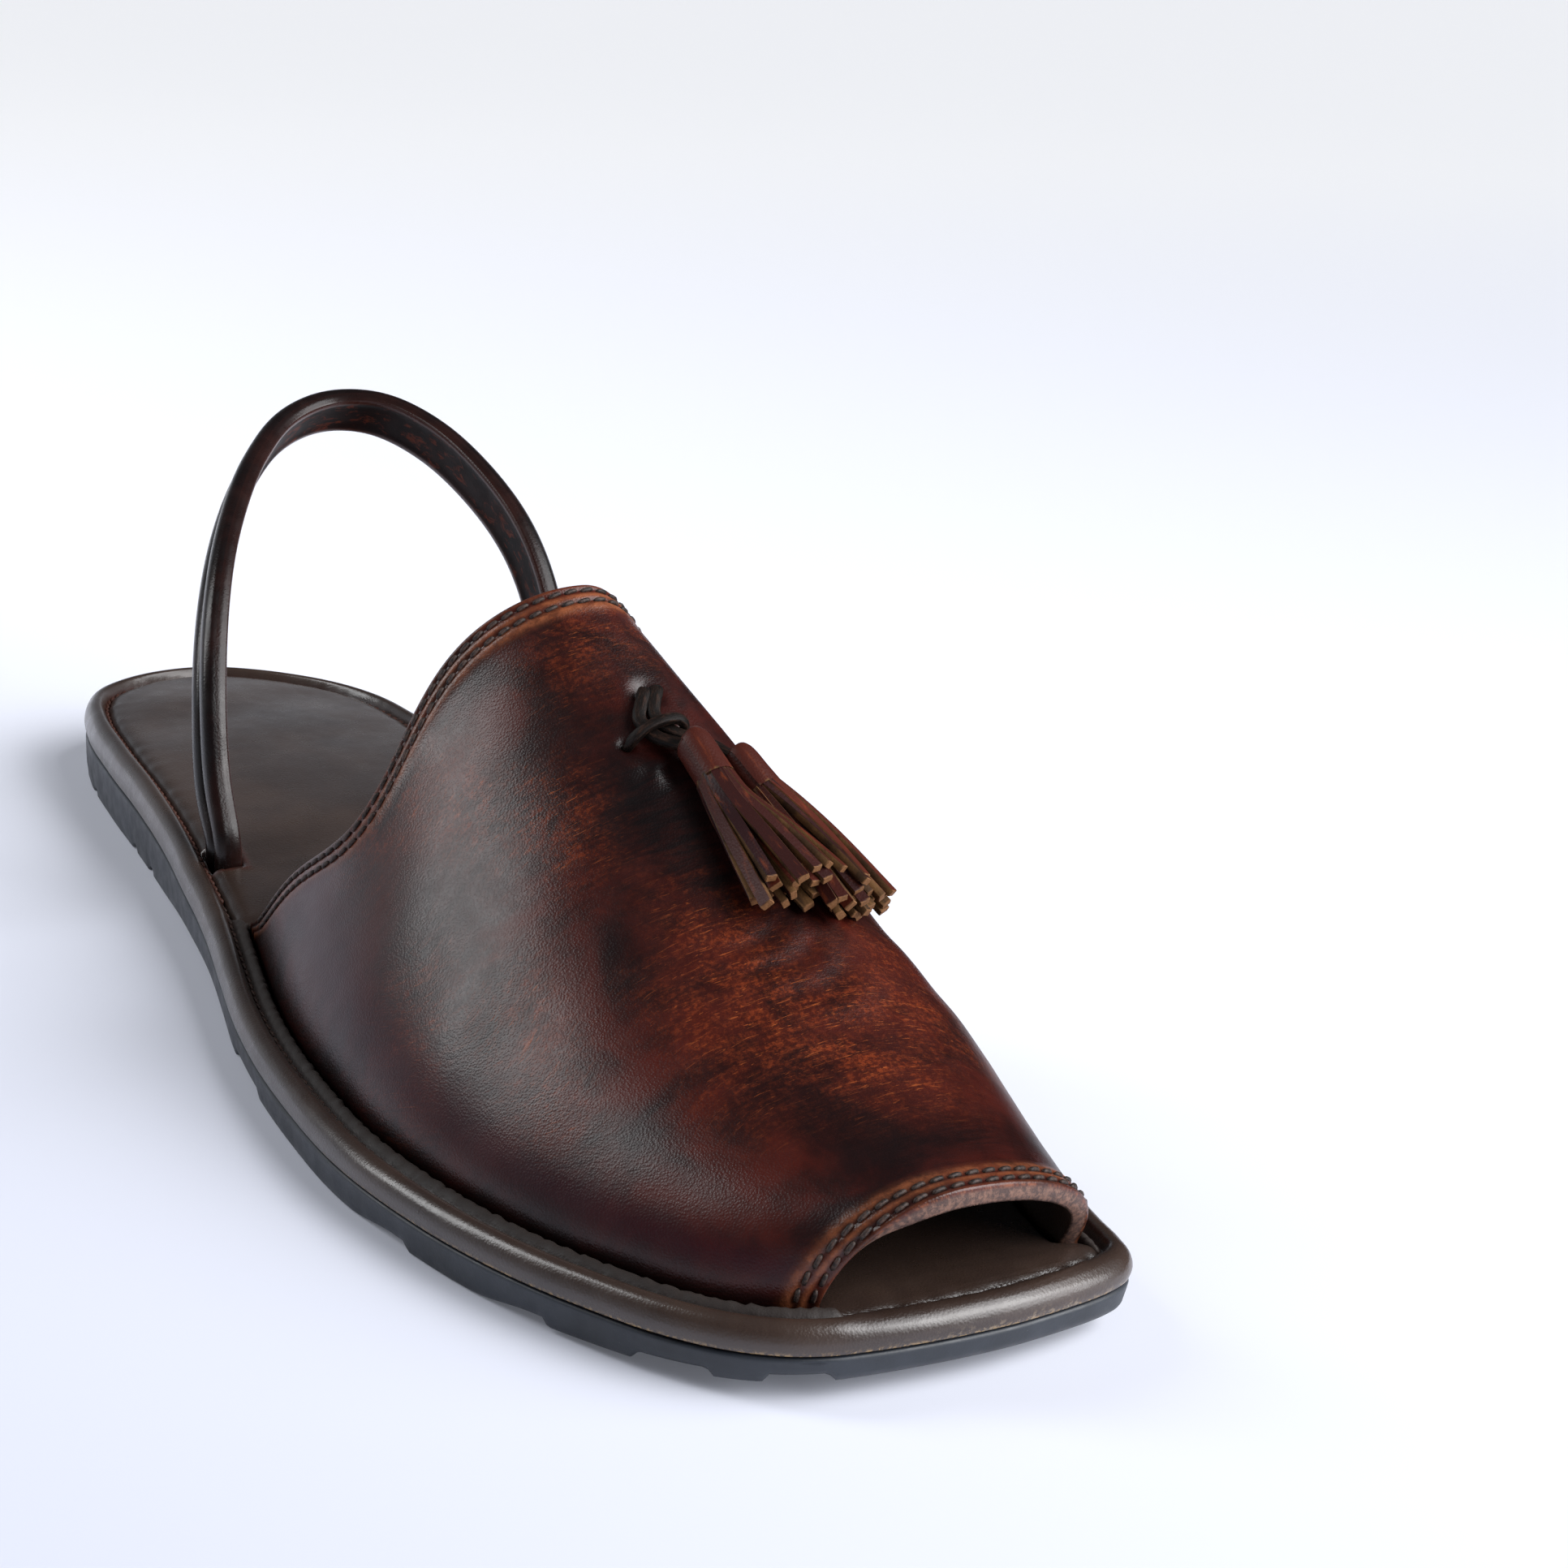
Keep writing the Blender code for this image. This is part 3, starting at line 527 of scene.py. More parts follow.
class Finish:
    """A Principled material and the nodes that feed it."""

    def __init__(self, name, **sockets):
        self.material = bpy.data.materials.new(name)
        self.material.use_nodes = True
        self.tree = self.material.node_tree
        self.shader = self.tree.nodes["Principled BSDF"]
        self.object = self.node("ShaderNodeTexCoord").outputs["Object"]
        for key, value in sockets.items():
            self.shader.inputs[key.replace("_", " ")].default_value = value

    def node(self, kind, inputs=None, **settings):
        """Add a node; an input is a number, a colour or another node's socket."""
        node = self.tree.nodes.new(kind)
        for key, value in settings.items():
            setattr(node, key, value)
        for key, value in (inputs or {}).items():
            self.feed(node.inputs[key], value)
        return node

    def feed(self, socket, value):
        """Link a socket to another, or set its value."""
        if isinstance(value, bpy.types.NodeSocket):
            self.tree.links.new(value, socket)
        else:
            socket.default_value = value

    def value(self, name):
        """A named value of the piece's own points."""
        return self.node("ShaderNodeAttribute", attribute_name=name).outputs["Fac"]

    def along(self, scale):
        """The piece's own UV map with a scale across and along."""
        uv = self.node("ShaderNodeUVMap", uv_map="UVMap").outputs["UV"]
        return self.node("ShaderNodeMapping", {"Vector": uv, "Scale": scale}).outputs["Vector"]

    def noise(self, pitch, detail=3.0, rough=0.55, vector=None, twist=0.0):
        """Cloudy noise whose features are about pitch millimetres apart."""
        inputs = {"Vector": vector or self.object, "Scale": 1 / (pitch * MM), "Detail": detail,
                  "Roughness": rough, "Distortion": twist}
        return self.node("ShaderNodeTexNoise", inputs).outputs["Fac"]

    def cells(self, pitch):
        """Distance inside cells about pitch millimetres wide."""
        inputs = {"Vector": self.object, "Scale": 1 / (pitch * MM)}
        return self.node("ShaderNodeTexVoronoi", inputs, feature="F1").outputs["Distance"]

    def math(self, operation, one, two=0.0, clamp=False):
        """Arithmetic on two numbers."""
        node = self.node("ShaderNodeMath", operation=operation, use_clamp=clamp)
        self.feed(node.inputs[0], one)
        self.feed(node.inputs[1], two)
        return node.outputs[0]

    def times(self, one, two):
        """Product of two numbers, kept between 0 and 1."""
        return self.math("MULTIPLY", one, two, True)

    def span(self, value, low, high, to_low=0.0, to_high=1.0):
        """Map a range of a value onto another, softly and clamped."""
        inputs = {"Value": value, "From Min": low, "From Max": high, "To Min": to_low, "To Max": to_high}
        return self.node("ShaderNodeMapRange", inputs, interpolation_type="SMOOTHSTEP").outputs["Result"]

    def mix(self, one, two, share):
        """Colour between two colours."""
        node = self.node("ShaderNodeMix", data_type="RGBA")
        self.feed(node.inputs["Factor"], share)
        self.feed(node.inputs["A"], one)
        self.feed(node.inputs["B"], two)
        return node.outputs["Result"]

    def bump(self, height, depth, normal=None):
        """Relief of a height from 0 to 1, depth millimetres deep."""
        inputs = {"Height": height, "Distance": depth * MM, "Strength": 1.0}
        if normal is not None:
            inputs["Normal"] = normal
        return self.node("ShaderNodeBump", inputs).outputs["Normal"]

    def set(self, **sockets):
        """Feed the shader's sockets."""
        for key, value in sockets.items():
            self.feed(self.shader.inputs[key.replace("_", " ")], value)
        return self.material


def colour(red, green, blue):
    """A screen colour of 0 to 255 as the shader's linear one."""
    share = np.array([red, green, blue]) / 255.0
    linear = np.where(share <= 0.04045, share / 12.92, ((share + 0.055) / 1.055) ** 2.4)
    return (*linear.tolist(), 1.0)


def leather_grain(finish, pitch, depth):
    """Pebbled grain: rounded cells of one pitch over a little broad unevenness."""
    pebbles = finish.span(finish.cells(pitch), 0.1, 0.8, 1.0, 0.0)
    normal = finish.bump(pebbles, depth)
    return finish.bump(finish.noise(pitch * 12.0, 2.0), depth * 0.6, normal)


def burnished_leather():
    """Mahogany leather with amber clouds and near-black dye clouds that carry the tassels' painted shadow,
    painted shade at the foot, a plum band low on the flanks that is partly a painted reflection of the
    floor, painted shade in its holes, and tan at its worked edges.
    """
    f = Finish("burnished_leather")
    cloud = f.noise(22.0, 5.0, 0.62, twist=0.6)
    streak = f.noise(1.0, 4.0, 0.65, f.along((0.12, 0.75, 1.0)), 0.8)
    speck = f.noise(0.8, 3.0, 0.7)
    base = f.mix(colour(25, 8, 8), colour(68, 21, 14), f.span(cloud, 0.36, 0.64))
    base = f.mix(base, colour(16, 7, 7), f.span(f.noise(9.0, 4.0, 0.6), 0.52, 0.75, 0.0, 0.6))
    rub = f.times(f.value("amber"), f.span(streak, 0.36, 0.62, 0.25, 1.0))
    rub = f.times(rub, f.span(f.noise(7.0, 5.0, 0.65, twist=1.0), 0.36, 0.58, 0.2, 1.0))
    amber = f.mix(colour(72, 25, 14), colour(128, 54, 25), f.span(speck, 0.42, 0.66))
    base = f.mix(base, amber, f.times(rub, 0.85))
    scratch = f.span(f.noise(1.0, 3.0, 0.7, f.along((0.28, 2.4, 1.0)), 1.2), 0.6, 0.68)
    base = f.mix(base, colour(168, 86, 42), f.times(f.times(f.value("amber"), scratch), 0.7))
    # Near-black dye clouds, together with the tassels' painted shadow and painted shade at the upper's
    # foot.
    dusk = f.times(f.value("dusk"), f.span(streak, 0.3, 0.7, 1.0, 0.6))
    base = f.mix(base, colour(8, 4, 5), f.times(dusk, 0.95))
    # Plum band low on both flanks: the leather's own tone together with a painted reflection of the pale
    # floor.
    base = f.mix(base, colour(48, 18, 25), f.times(f.value("plum"), 0.7))
    hem = f.times(f.value("hem"), f.span(f.noise(2.4, 5.0, 0.7), 0.38, 0.62, 0.4, 1.0))
    base = f.mix(base, colour(150, 87, 55), f.times(hem, 0.9))
    cut = f.mix(colour(76, 57, 52), colour(124, 92, 78), f.span(f.noise(0.9, 4.0, 0.7), 0.4, 0.65))
    base = f.mix(base, cut, f.value("cut"))
    lining = f.mix(colour(48, 33, 25), colour(64, 45, 33), f.noise(6.0, 4.0))
    base = f.mix(base, lining, f.value("lining"))
    # Painted shade inside the holes, which are dents and not cut through.
    base = f.mix(base, colour(6, 4, 4), f.value("pit"))
    rough = f.span(f.noise(5.0, 4.0, 0.6), 0.3, 0.7, 0.3, 0.35)
    rough = f.math("ADD", rough, f.times(f.math("ADD", f.value("cut"), f.value("lining")), 0.22))
    gloss = f.span(f.value("plum"), 0.0, 1.0, 0.4, 0.24)
    f.set(Base_Color=base, Roughness=rough, Specular_IOR_Level=gloss)
    return f.set(Normal=leather_grain(f, 0.36, 0.016))


def footbed_leather():
    """Dark olive-brown leather with a fine grain and a soft gloss, scuffed pale on the rand's face."""
    f = Finish("footbed_leather", Coat_Roughness=0.22)
    cloud = f.noise(26.0, 4.0, 0.6)
    base = f.mix(colour(48, 36, 31), colour(61, 47, 40), f.span(cloud, 0.35, 0.65))
    base = f.mix(base, colour(30, 22, 19), f.times(f.value("shade"), 0.9))
    red = f.times(f.value("red"), f.span(f.noise(2.0, 3.0), 0.35, 0.6, 0.4, 1.0))
    base = f.mix(base, colour(78, 38, 30), f.times(red, 0.7))
    scuff = f.times(f.value("scuff"), f.span(f.noise(1.1, 5.0, 0.7), 0.53, 0.62))
    base = f.mix(base, colour(150, 132, 108), f.times(scuff, 0.7))
    fibre = f.times(f.value("fibre"), f.span(f.noise(0.7, 4.0, 0.7), 0.45, 0.6))
    base = f.mix(base, colour(158, 128, 84), f.times(fibre, 0.9))
    rough = f.span(f.noise(4.0, 4.0, 0.6), 0.3, 0.7, 0.26, 0.36)
    rough = f.math("ADD", rough, f.times(f.value("matte"), 0.45))
    coat = f.span(f.value("matte"), 0.0, 0.6, 0.4, 0.0)
    return f.set(Base_Color=base, Roughness=rough, Coat_Weight=coat, Normal=leather_grain(f, 0.4, 0.016))


def black_rubber():
    """Blue-black moulded rubber, dull, with a little pale dust."""
    f = Finish("black_rubber")
    base = f.mix(colour(30, 34, 40), colour(42, 47, 55), f.span(f.noise(14.0, 4.0, 0.6), 0.3, 0.7))
    dust = f.span(f.noise(0.5, 2.0, 0.6), 0.72, 0.8)
    dust = f.times(dust, f.span(f.noise(12.0, 3.0), 0.45, 0.7))
    base = f.mix(base, colour(150, 152, 156), f.times(dust, 0.5))
    rough = f.span(f.noise(3.0, 4.0), 0.3, 0.7, 0.4, 0.52)
    return f.set(Base_Color=base, Roughness=rough, Normal=f.bump(f.noise(0.5, 4.0, 0.6), 0.03))


def strap_leather():
    """Glossy near-black brown leather with reddish rubbed patches, and painted shade in the groove down
    its outer face.
    """
    f = Finish("strap_leather")
    base = f.mix(colour(16, 9, 9), colour(30, 15, 13), f.span(f.noise(11.0, 4.0, 0.6), 0.4, 0.65))
    patch = f.span(f.noise(1.0, 5.0, 0.7, f.along((0.5, 0.22, 1.0)), 0.5), 0.52, 0.66)
    base = f.mix(base, colour(96, 40, 22), f.times(patch, f.times(f.value("inside"), 0.8)))
    base = f.mix(base, colour(96, 52, 42), f.times(f.value("fold"), 0.45))
    # Painted shade, near black, down the groove of the strap's outer face.
    base = f.mix(base, colour(6, 4, 4), f.value("groove"))
    rough = f.span(f.noise(4.0, 4.0, 0.6), 0.3, 0.7, 0.24, 0.32)
    rough = f.math("ADD", rough, f.times(f.value("inside"), 0.25))
    gloss = f.span(f.value("inside"), 0.0, 1.0, 0.36, 0.1)
    f.set(Base_Color=base, Roughness=rough, Specular_IOR_Level=gloss)
    return f.set(Normal=leather_grain(f, 0.4, 0.01))


def lace_leather():
    """Dull near-black lace with a fibrous face."""
    f = Finish("lace_leather", Specular_IOR_Level=0.16)
    fibre = f.noise(1.0, 4.0, 0.7, f.along((1.6, 0.35, 1.0)))
    base = f.mix(colour(15, 9, 7), colour(50, 32, 24), f.span(fibre, 0.45, 0.7))
    return f.set(Base_Color=base, Roughness=0.52, Normal=f.bump(fibre, 0.12))


def tassel_leather():
    """Mahogany grain outside and tan flesh inside, with pale fibrous cut ends."""
    f = Finish("tassel_leather", Specular_IOR_Level=0.22)
    streak = f.noise(1.0, 4.0, 0.65, f.along((0.8, 0.16, 1.0)))
    grain = f.mix(colour(34, 14, 16), colour(80, 31, 19), f.value("tone"))
    grain = f.mix(grain, colour(132, 62, 30), f.span(streak, 0.54, 0.74, 0.0, 0.45))
    flesh = f.mix(colour(54, 35, 20), colour(104, 72, 40), f.span(streak, 0.35, 0.65))
    base = f.mix(grain, flesh, f.value("flesh"))
    ends = f.mix(colour(80, 50, 32), colour(146, 102, 64), f.noise(0.6, 4.0, 0.7))
    base = f.mix(base, ends, f.value("end"))
    raw = f.math("MAXIMUM", f.value("flesh"), f.value("end"))
    rough = f.math("ADD", 0.46, f.times(raw, 0.3))
    return f.set(Base_Color=base, Roughness=rough, Normal=leather_grain(f, 0.4, 0.02))


def waxed_thread():
    """Dark waxed thread, twisted."""
    f = Finish("waxed_thread", Roughness=0.55, Specular_IOR_Level=0.35)
    base = f.mix(colour(27, 19, 17), colour(66, 49, 42), f.span(f.noise(0.5, 3.0), 0.35, 0.65))
    base = f.mix(base, colour(92, 52, 40), f.times(f.value("red"), 0.6))
    return f.set(Base_Color=base, Normal=f.bump(f.noise(0.25, 2.0), 0.04))


def rubber_sole(material):
    """Rubber sole: rings down its side wall and round its lugs, then a barred field across the middle.

    Height over the floor is the tread's, raised between the lugs; the field is sunk and carries low bars.
    """
    seam = seam_height(RING_U)
    tread = tread_height(RING_U)
    cut = notch_cut(0.9) * LUG_DEPTH
    foot = tread + cut
    side = seam - foot
    insets = [2.0, 0.55, 0.2, 0.08, 0.1, 0.2, 0.32, 0.5, 0.62, 0.8, 1.2, 2.0, LUG_WIDTH - 0.4, LUG_WIDTH]
    heights = [seam - drop for drop in (0.15, 0.15, 0.3, 0.7)]
    heights += [foot + share * side for share in (0.75, 0.5, 0.3, 0.18)]
    heights += [foot + rise for rise in (0.5, 0.18, 0.02, 0.0, 0.0, 0.1)]
    rows = layers(insets, heights)
    skin = Skin()
    skin.grid(rows, wrap=True)
    skin.grid(across(rows[0], 8))
    edge = layers([LUG_WIDTH, LUG_WIDTH + 0.5], [foot + 0.1, tread + LUG_DEPTH])
    skin.grid(edge, wrap=True)
    field = across(edge[1], 60)
    bars = smooth((np.sin(TAU * field[..., 0] / 6.5 + 0.35 * np.sin(field[..., 1] / 4.0)) + 0.15) / 0.5)
    rim = np.minimum(*(np.linalg.norm(field - field[:, [end]], axis=-1) for end in (0, -1)))
    field[..., 2] -= 0.75 * bars * smooth(rim - 1.5)
    skin.grid(field)
    return skin.piece("rubber_sole", material, "outsole")


def toe_front(ramp):
    """1 at the stations round the toe between the two ends of the upper."""
    return smooth((RING_U - 279.0) / ramp) * (1 - beside_upper(4.0, 1.0))


def crease_wander():
    """Sideways wander of the tucked crease between rand and footbed, in millimetres."""
    return (0.08 + 0.14 * toe_front(5.0)) * ripple(RING, 6.3, 12)


def rolled_rand(material):
    """Rolled leather rim: a profile carried round the outline on splines.

    The profile climbs the outer face, rolls over, dips into the stitched groove and, beside the upper,
    rises again into a ridge that uneven waves pucker. Elsewhere it drops to the footbed's edge, less deep
    round the toe, where the crease wanders.
    """
    seam = seam_height(RING_U)
    rim = rim_height(RING_U)
    beside = beside_upper(4.0, 1.0)
    front = toe_front(5.0)
    base = 0.15 / rim
    knots = [
        # plain inset and height, inset and height beside the upper, height round the toe
        (2.0, base, 2.0, base, base), (0.5, base, 0.5, base, base), (0.12, 0.06, 0.12, 0.06, 0.06),
        (-0.1, 0.2, -0.1, 0.2, 0.2), (-0.16, 0.38, -0.16, 0.38, 0.38), (0.05, 0.57, 0.05, 0.57, 0.57),
        (0.5, 0.76, 0.5, 0.77, 0.75), (1.25, 0.915, 1.2, 0.925, 0.89), (2.1, 0.99, 2.05, 0.995, 0.97),
        (2.9, 0.97, 2.85, 0.96, 0.985), (3.5, 0.83, 3.35, 0.83, 0.93), (3.85, 0.70, 3.65, 0.68, 0.87),
        (4.1, 0.62, 3.95, 0.59, 0.80), (4.3, 0.60, 4.3, 0.63, 0.72), (4.42, 0.58, 4.85, 0.80, 0.64),
        (4.48, 0.52, 5.55, 0.91, 0.56), (4.5, 0.42, 6.2, 0.86, 0.48), (4.5, 0.25, 6.55, 0.58, 0.38),
        (4.5, 0.22, 6.62, 0.34, 0.30),
    ]
    far = np.array([p[0] + (p[2] - p[0]) * beside for p in knots])
    high = np.array([p[1] + (p[3] - p[1]) * beside + (p[4] - p[1]) * front for p in knots])
    at = np.linspace(0, len(knots) - 1, 64)
    far = through(far, at)
    high = through(high, at)
    step = at[:, None]
    ridge = bell(step - 15.0, 1.9) * beside
    crease = bell(step - 10.6, 1.2)
    pucker = ripple(RING, 3.4, 3) + 0.6 * ripple(RING, 1.7, 4)
    height = high * rim + ridge * 0.13 * pucker + crease * 0.08 * ripple(RING, 4.2, 5)
    far = far + ridge * 0.14 * ripple(RING, 2.6, 6)
    far = far + smooth((step - 9.5) / 4.0) * crease_wander() * (1 - beside)
    far = far + bell(step - 5.0, 2.5) * 0.06 * ripple(RING, 23.0, 9)
    rows = layers(far, seam + height)
    worn = bell(np.abs(RING_POINT[:, 1] - 12.0), 16.0) * smooth((RING_U - 280.0) / 8.0)
    heel = 1 - smooth((RING_U - 120.0) / 20.0)
    skin = Skin()
    skin.grid(rows, wrap=True, matte=ridge, scuff=bell(step - 2.4, 1.2) * worn,
              shade=bell(step - 12.6, 1.5) * (1 - 0.55 * front) + ridge * 0.75,
              red=bell(step - 12.2, 1.4) * (0.2 + 0.8 * heel) * (1 - front),
              fibre=bell(step - 2.2, 0.5) * (0.25 + 0.75 * smooth((RING_U - 200.0) / 60.0)))
    skin.grid(across(rows[0], 6))
    inner = rows[-1]
    floor = inner.copy()
    floor[:, 2] = np.minimum(seam + BOARD_TOP, inner[:, 2] - 0.05)
    skin.grid(np.array([inner, floor]), wrap=True, shade=1.0)
    skin.grid(across(floor, 6), shade=1.0)
    return skin.piece("rolled_rand", material, "rand")


def footbed(material):
    """Footbed: a grid across the sole whose height rises from its tucked edge to a low crown.

    The height over the edge follows the distance to the nearest edge point; puckers fade inwards from it.
    """
    edge = RAND_INSET + 0.1
    beside = beside_upper(2.0, -1.2)
    far = edge + crease_wander() + (UPPER_INSET + WALL + 0.3 - edge) * beside
    seam = seam_height(RING_U)
    rim = rim_height(RING_U)
    ring = np.column_stack([inset(far), seam + 0.93 * rim])
    top = across(ring, 96)
    blocks = np.array_split(top[..., :2].reshape(-1, 2), 60)
    away = [np.sqrt(((block[:, None] - ring[None, :, :2]) ** 2).sum(-1).min(1)) for block in blocks]
    away = np.concatenate(away).reshape(top.shape[:2])
    toe = smooth((top[..., 0] - 272.0) / 8.0)
    crown = 0.75 * smooth(away / 26.0)
    tuck = (1.5 - 0.4 * toe) * np.exp(-away / 0.9) + 0.35 * np.exp(-away / 4.0)
    lateral_run = np.broadcast_to(SHARE[:, None] * TOE_S, top.shape[:2])
    turn = lateral_run + (top[..., 1] - lateral_run) * (toe > 0)
    pucker = 0.06 * ripple(turn, 4.6, 31) * np.exp(-away / 1.8) * (0.4 + 0.8 * toe)
    wave = 0.12 * ripple(top[..., 0] + 0.3 * top[..., 1], 31.0, 33) * smooth(away / 9.0)
    slit, lips = strap_slit(top)
    top[..., 2] += crown - tuck + pucker + wave - 3.2 * slit + 0.1 * lips
    skin = Skin()
    skin.grid(top, shade=np.maximum(np.exp(-away / 0.7), slit), red=lips)
    border = np.concatenate([top[:, 0], top[-2:0:-1, -1]])
    low = border.copy()
    low[:, 2] = seam + BOARD_TOP + 0.3
    skin.grid(np.array([border, low]), wrap=True, shade=1.0)
    skin.grid(across(low, 6), shade=1.0)
    return skin.piece("footbed", material, "insole")


def reach_from(spots, u, x):
    """Sum of soft patches at stations, each with its reach along and across."""
    total = np.zeros(np.shape(u))
    for at_u, at_x, along, over, strength in spots:
        total = total + strength * np.exp(-((u - at_u) / along) ** 2 - ((x - at_x) / over) ** 2)
    return np.clip(total, 0.0, 1.0)


def crease_depth(u, x):
    """Depth of the listed creases: a trough along each line, with a low ridge on either side."""
    total = np.zeros(np.shape(u))
    for u0, x0, u1, x1, width, depth in CREASES:
        length = math.hypot(u1 - u0, x1 - x0)
        du, dx = (u1 - u0) / length, (x1 - x0) / length
        along = (u - u0) * du + (x - x0) * dx
        off = (u - u0) * -dx + (x - x0) * du
        off = off + 0.12 * length * np.sin(math.pi * along / length) ** 2
        fade = smooth(along / (0.3 * length)) * smooth((length - along) / (0.3 * length))
        total = total + depth * fade * (bell(off, width) - 0.45 * bell(np.abs(off) - 2.0 * width, width))
    return total


# Distances from a cut edge, in millimetres, at which the upper's grid has rows.
EDGE_STEPS = np.array([
    0.0, 0.12, 0.3, 0.55, 0.8, 1.05, 1.3, 1.55, 1.8, 2.1, 2.4, 2.7, 3.0, 3.25, 3.5, 3.75, 4.0, 4.4, 4.9,
    5.5, 6.3, 7.4, 8.8, 10.5,
])
# Columns over the upper, closer together where the lace goes through it.
COLUMNS = np.concatenate([
    np.linspace(-1.0, -0.2, 76, endpoint=False),
    np.linspace(-0.2, 0.1, 66, endpoint=False),
    np.linspace(0.1, 1.0, 85),
])


def upper_rows(middle):
    """v at each row and column of the upper's grid, and each point's distance from collar and from arch.

    Rows keep a set distance from both cut edges and share out the length between.
    """
    fine = np.linspace(0.0, 1.0, 401)
    v, w = np.meshgrid(fine, COLUMNS, indexing="ij")
    step = np.linalg.norm(np.diff(upper_point(v, w), axis=0), axis=-1)
    length = np.concatenate([np.zeros((1, len(COLUMNS))), np.cumsum(step, axis=0)])
    whole = length[-1]
    last = EDGE_STEPS[-1]
    share = np.linspace(0.0, 1.0, middle)[1:-1, None]
    down = np.concatenate([
        np.broadcast_to(EDGE_STEPS[:, None], (len(EDGE_STEPS), len(COLUMNS))),
        last + (whole - 2 * last) * share,
        whole - EDGE_STEPS[::-1, None],
    ])
    rows = np.stack([np.interp(down[:, k], length[:, k], fine) for k in range(len(COLUMNS))], 1)
    return rows, down, whole - down


def edge_relief(away):
    """Height of the worked edge by distance from it: rounded lip, then two stitched troughs in a fold."""
    lip = 0.4
    inside = np.clip(lip - away, 0.0, lip)
    rounding = lip - np.sqrt(np.maximum(lip ** 2 - inside ** 2, 0.0))
    troughs = sum(bell(away - row, 0.5) for row in EDGE_ROWS)
    fold = 0.22 * (1 - smooth((away - 4.0) / 2.2))
    return fold - 0.26 * troughs - rounding


def vamp(material):
    """The upper as one closed skin: outer face, lining, its two feet and the cut edges.

    The outer face is upper_point moved along its normal by the edges' relief, creases and dents; the
    lining is the same face moved in by the wall. Each row is one ring over the outside and back along the
    lining.
    """
    v, collar, arch = upper_rows(146)
    w = np.broadcast_to(COLUMNS, v.shape)
    face = upper_point(v, w)
    normal = upper_normal(v, w)
    near = np.minimum(collar, arch)
    u, x = face[..., 0], face[..., 1]
    foot = smooth((np.abs(w) - 0.86) / 0.14)
    relief = edge_relief(near) - crease_depth(u, x) * smooth((near - 5.0) / 5.0)
    relief = relief + 0.06 * ripple(u + 0.4 * x, 27.0, 41) * smooth((near - 6.0) / 8.0) * (1 - foot)
    # Painted shade inside the holes: the dents are not cut through.
    pit = np.zeros(v.shape)
    for at_v, at_w, reach, depth in DENTS:
        spot = upper_point(np.array([at_v]), np.array([at_w]))[0]
        away = np.linalg.norm(face - spot, axis=-1)
        relief = relief - depth * bell(away, reach)
        if depth > HOLE_DEPTH:
            pit = np.maximum(pit, smooth((reach * 0.95 - away) / (0.4 * reach)))
    outer = face + normal * relief[..., None]
    inner = face - normal * WALL
    for side, column in (("lateral", 0), ("medial", -1)):
        plan, inward = foot_line(side, v[:, column])
        inner[:, column, :2] = plan + WALL * inward
        inner[:, column, 2] = outer[:, column, 2]
    feet = []
    for points in (outer[:, 0], outer[:, -1], inner[:, -1], inner[:, 0]):
        low = points.copy()
        low[:, 2] = seam_height(low[:, 0]) + BOARD_TOP + 0.5
        feet.append(low[:, None])
    ring = np.concatenate([feet[0], outer, feet[1], feet[2], inner[:, ::-1], feet[3]], 1)

    def around(outside, inside, low):
        """Values for whole rings: over the outer face, back along the lining and at the feet."""
        rest = np.full((len(v), 1), low)
        back = np.full(v.shape, inside)
        return np.concatenate([rest, np.broadcast_to(outside, v.shape), rest, rest, back, rest], 1)

    hem = 0.9 * bell(near - 2.4, 0.5) + 0.9 * bell(near - 4.5, 0.8) + 0.35 * bell(near - 0.4, 0.4)
    top = np.where(collar < arch, 0.4 + 0.6 * bell(w, 0.45), 0.75)
    # Dark dye clouds with the tassels' painted shadow, plus painted shade along the upper's foot where it
    # meets the rand, and full painted shade on the feet that go down into the footbed.
    dusk = reach_from(DARK_DYE_AND_SHADE, u, x) + 0.95 * smooth((np.abs(w) - 0.89) / 0.09)
    values = {
        "amber": around(reach_from(AMBER, u, x), 0.0, 0.0),
        "dusk": around(np.clip(dusk, 0, 1), 0.0, 1.0),
        # Plum band above the foot, partly a painted reflection of the pale floor.
        "plum": around(bell(np.abs(w) - 0.8, 0.09) * smooth(near / 8.0), 0.0, 0.0),
        "hem": around(np.clip(hem, 0, 1) * top, 0.0, 0.0),
        "pit": around(pit, 0.0, 0.0),
        "lining": around(0.0, 1.0, 0.0),
    }
    run = np.cumsum(np.linalg.norm(np.diff(face, axis=1, prepend=face[:, :1]), axis=-1), axis=1)
    run = run - run[:, [int(np.argmin(np.abs(COLUMNS)))]]
    uv = np.stack([around(run * MM, 0.0, 0.0), around(collar * MM, 0.0, 0.0)], -1)
    skin = Skin()
    skin.grid(ring, wrap=True, uv=uv, **values)
    wide = len(COLUMNS) + 2
    for row, behind in ((0, 3), (-1, -4)):
        one, two = ring[row, :wide], ring[row, wide:][::-1]
        slope = unit(outer[row] - outer[behind])
        slope = np.concatenate([slope[:1], slope, slope[-1:]])
        t = np.linspace(0, 1, 7)[:, None, None]
        edge = one + (two - one) * t + slope * 0.28 * np.sin(math.pi * t)
        skin.grid(edge, cut=smooth(t[..., 0] / 0.2), hem=0.7 * (1 - smooth(t[..., 0] / 0.2)))
        for column in (0, -1):
            skin.cap(edge[:, column], edge[0, column], wrap=False, cut=1.0)
    return skin.piece("vamp", material, "upper"), (collar, arch, outer, normal)


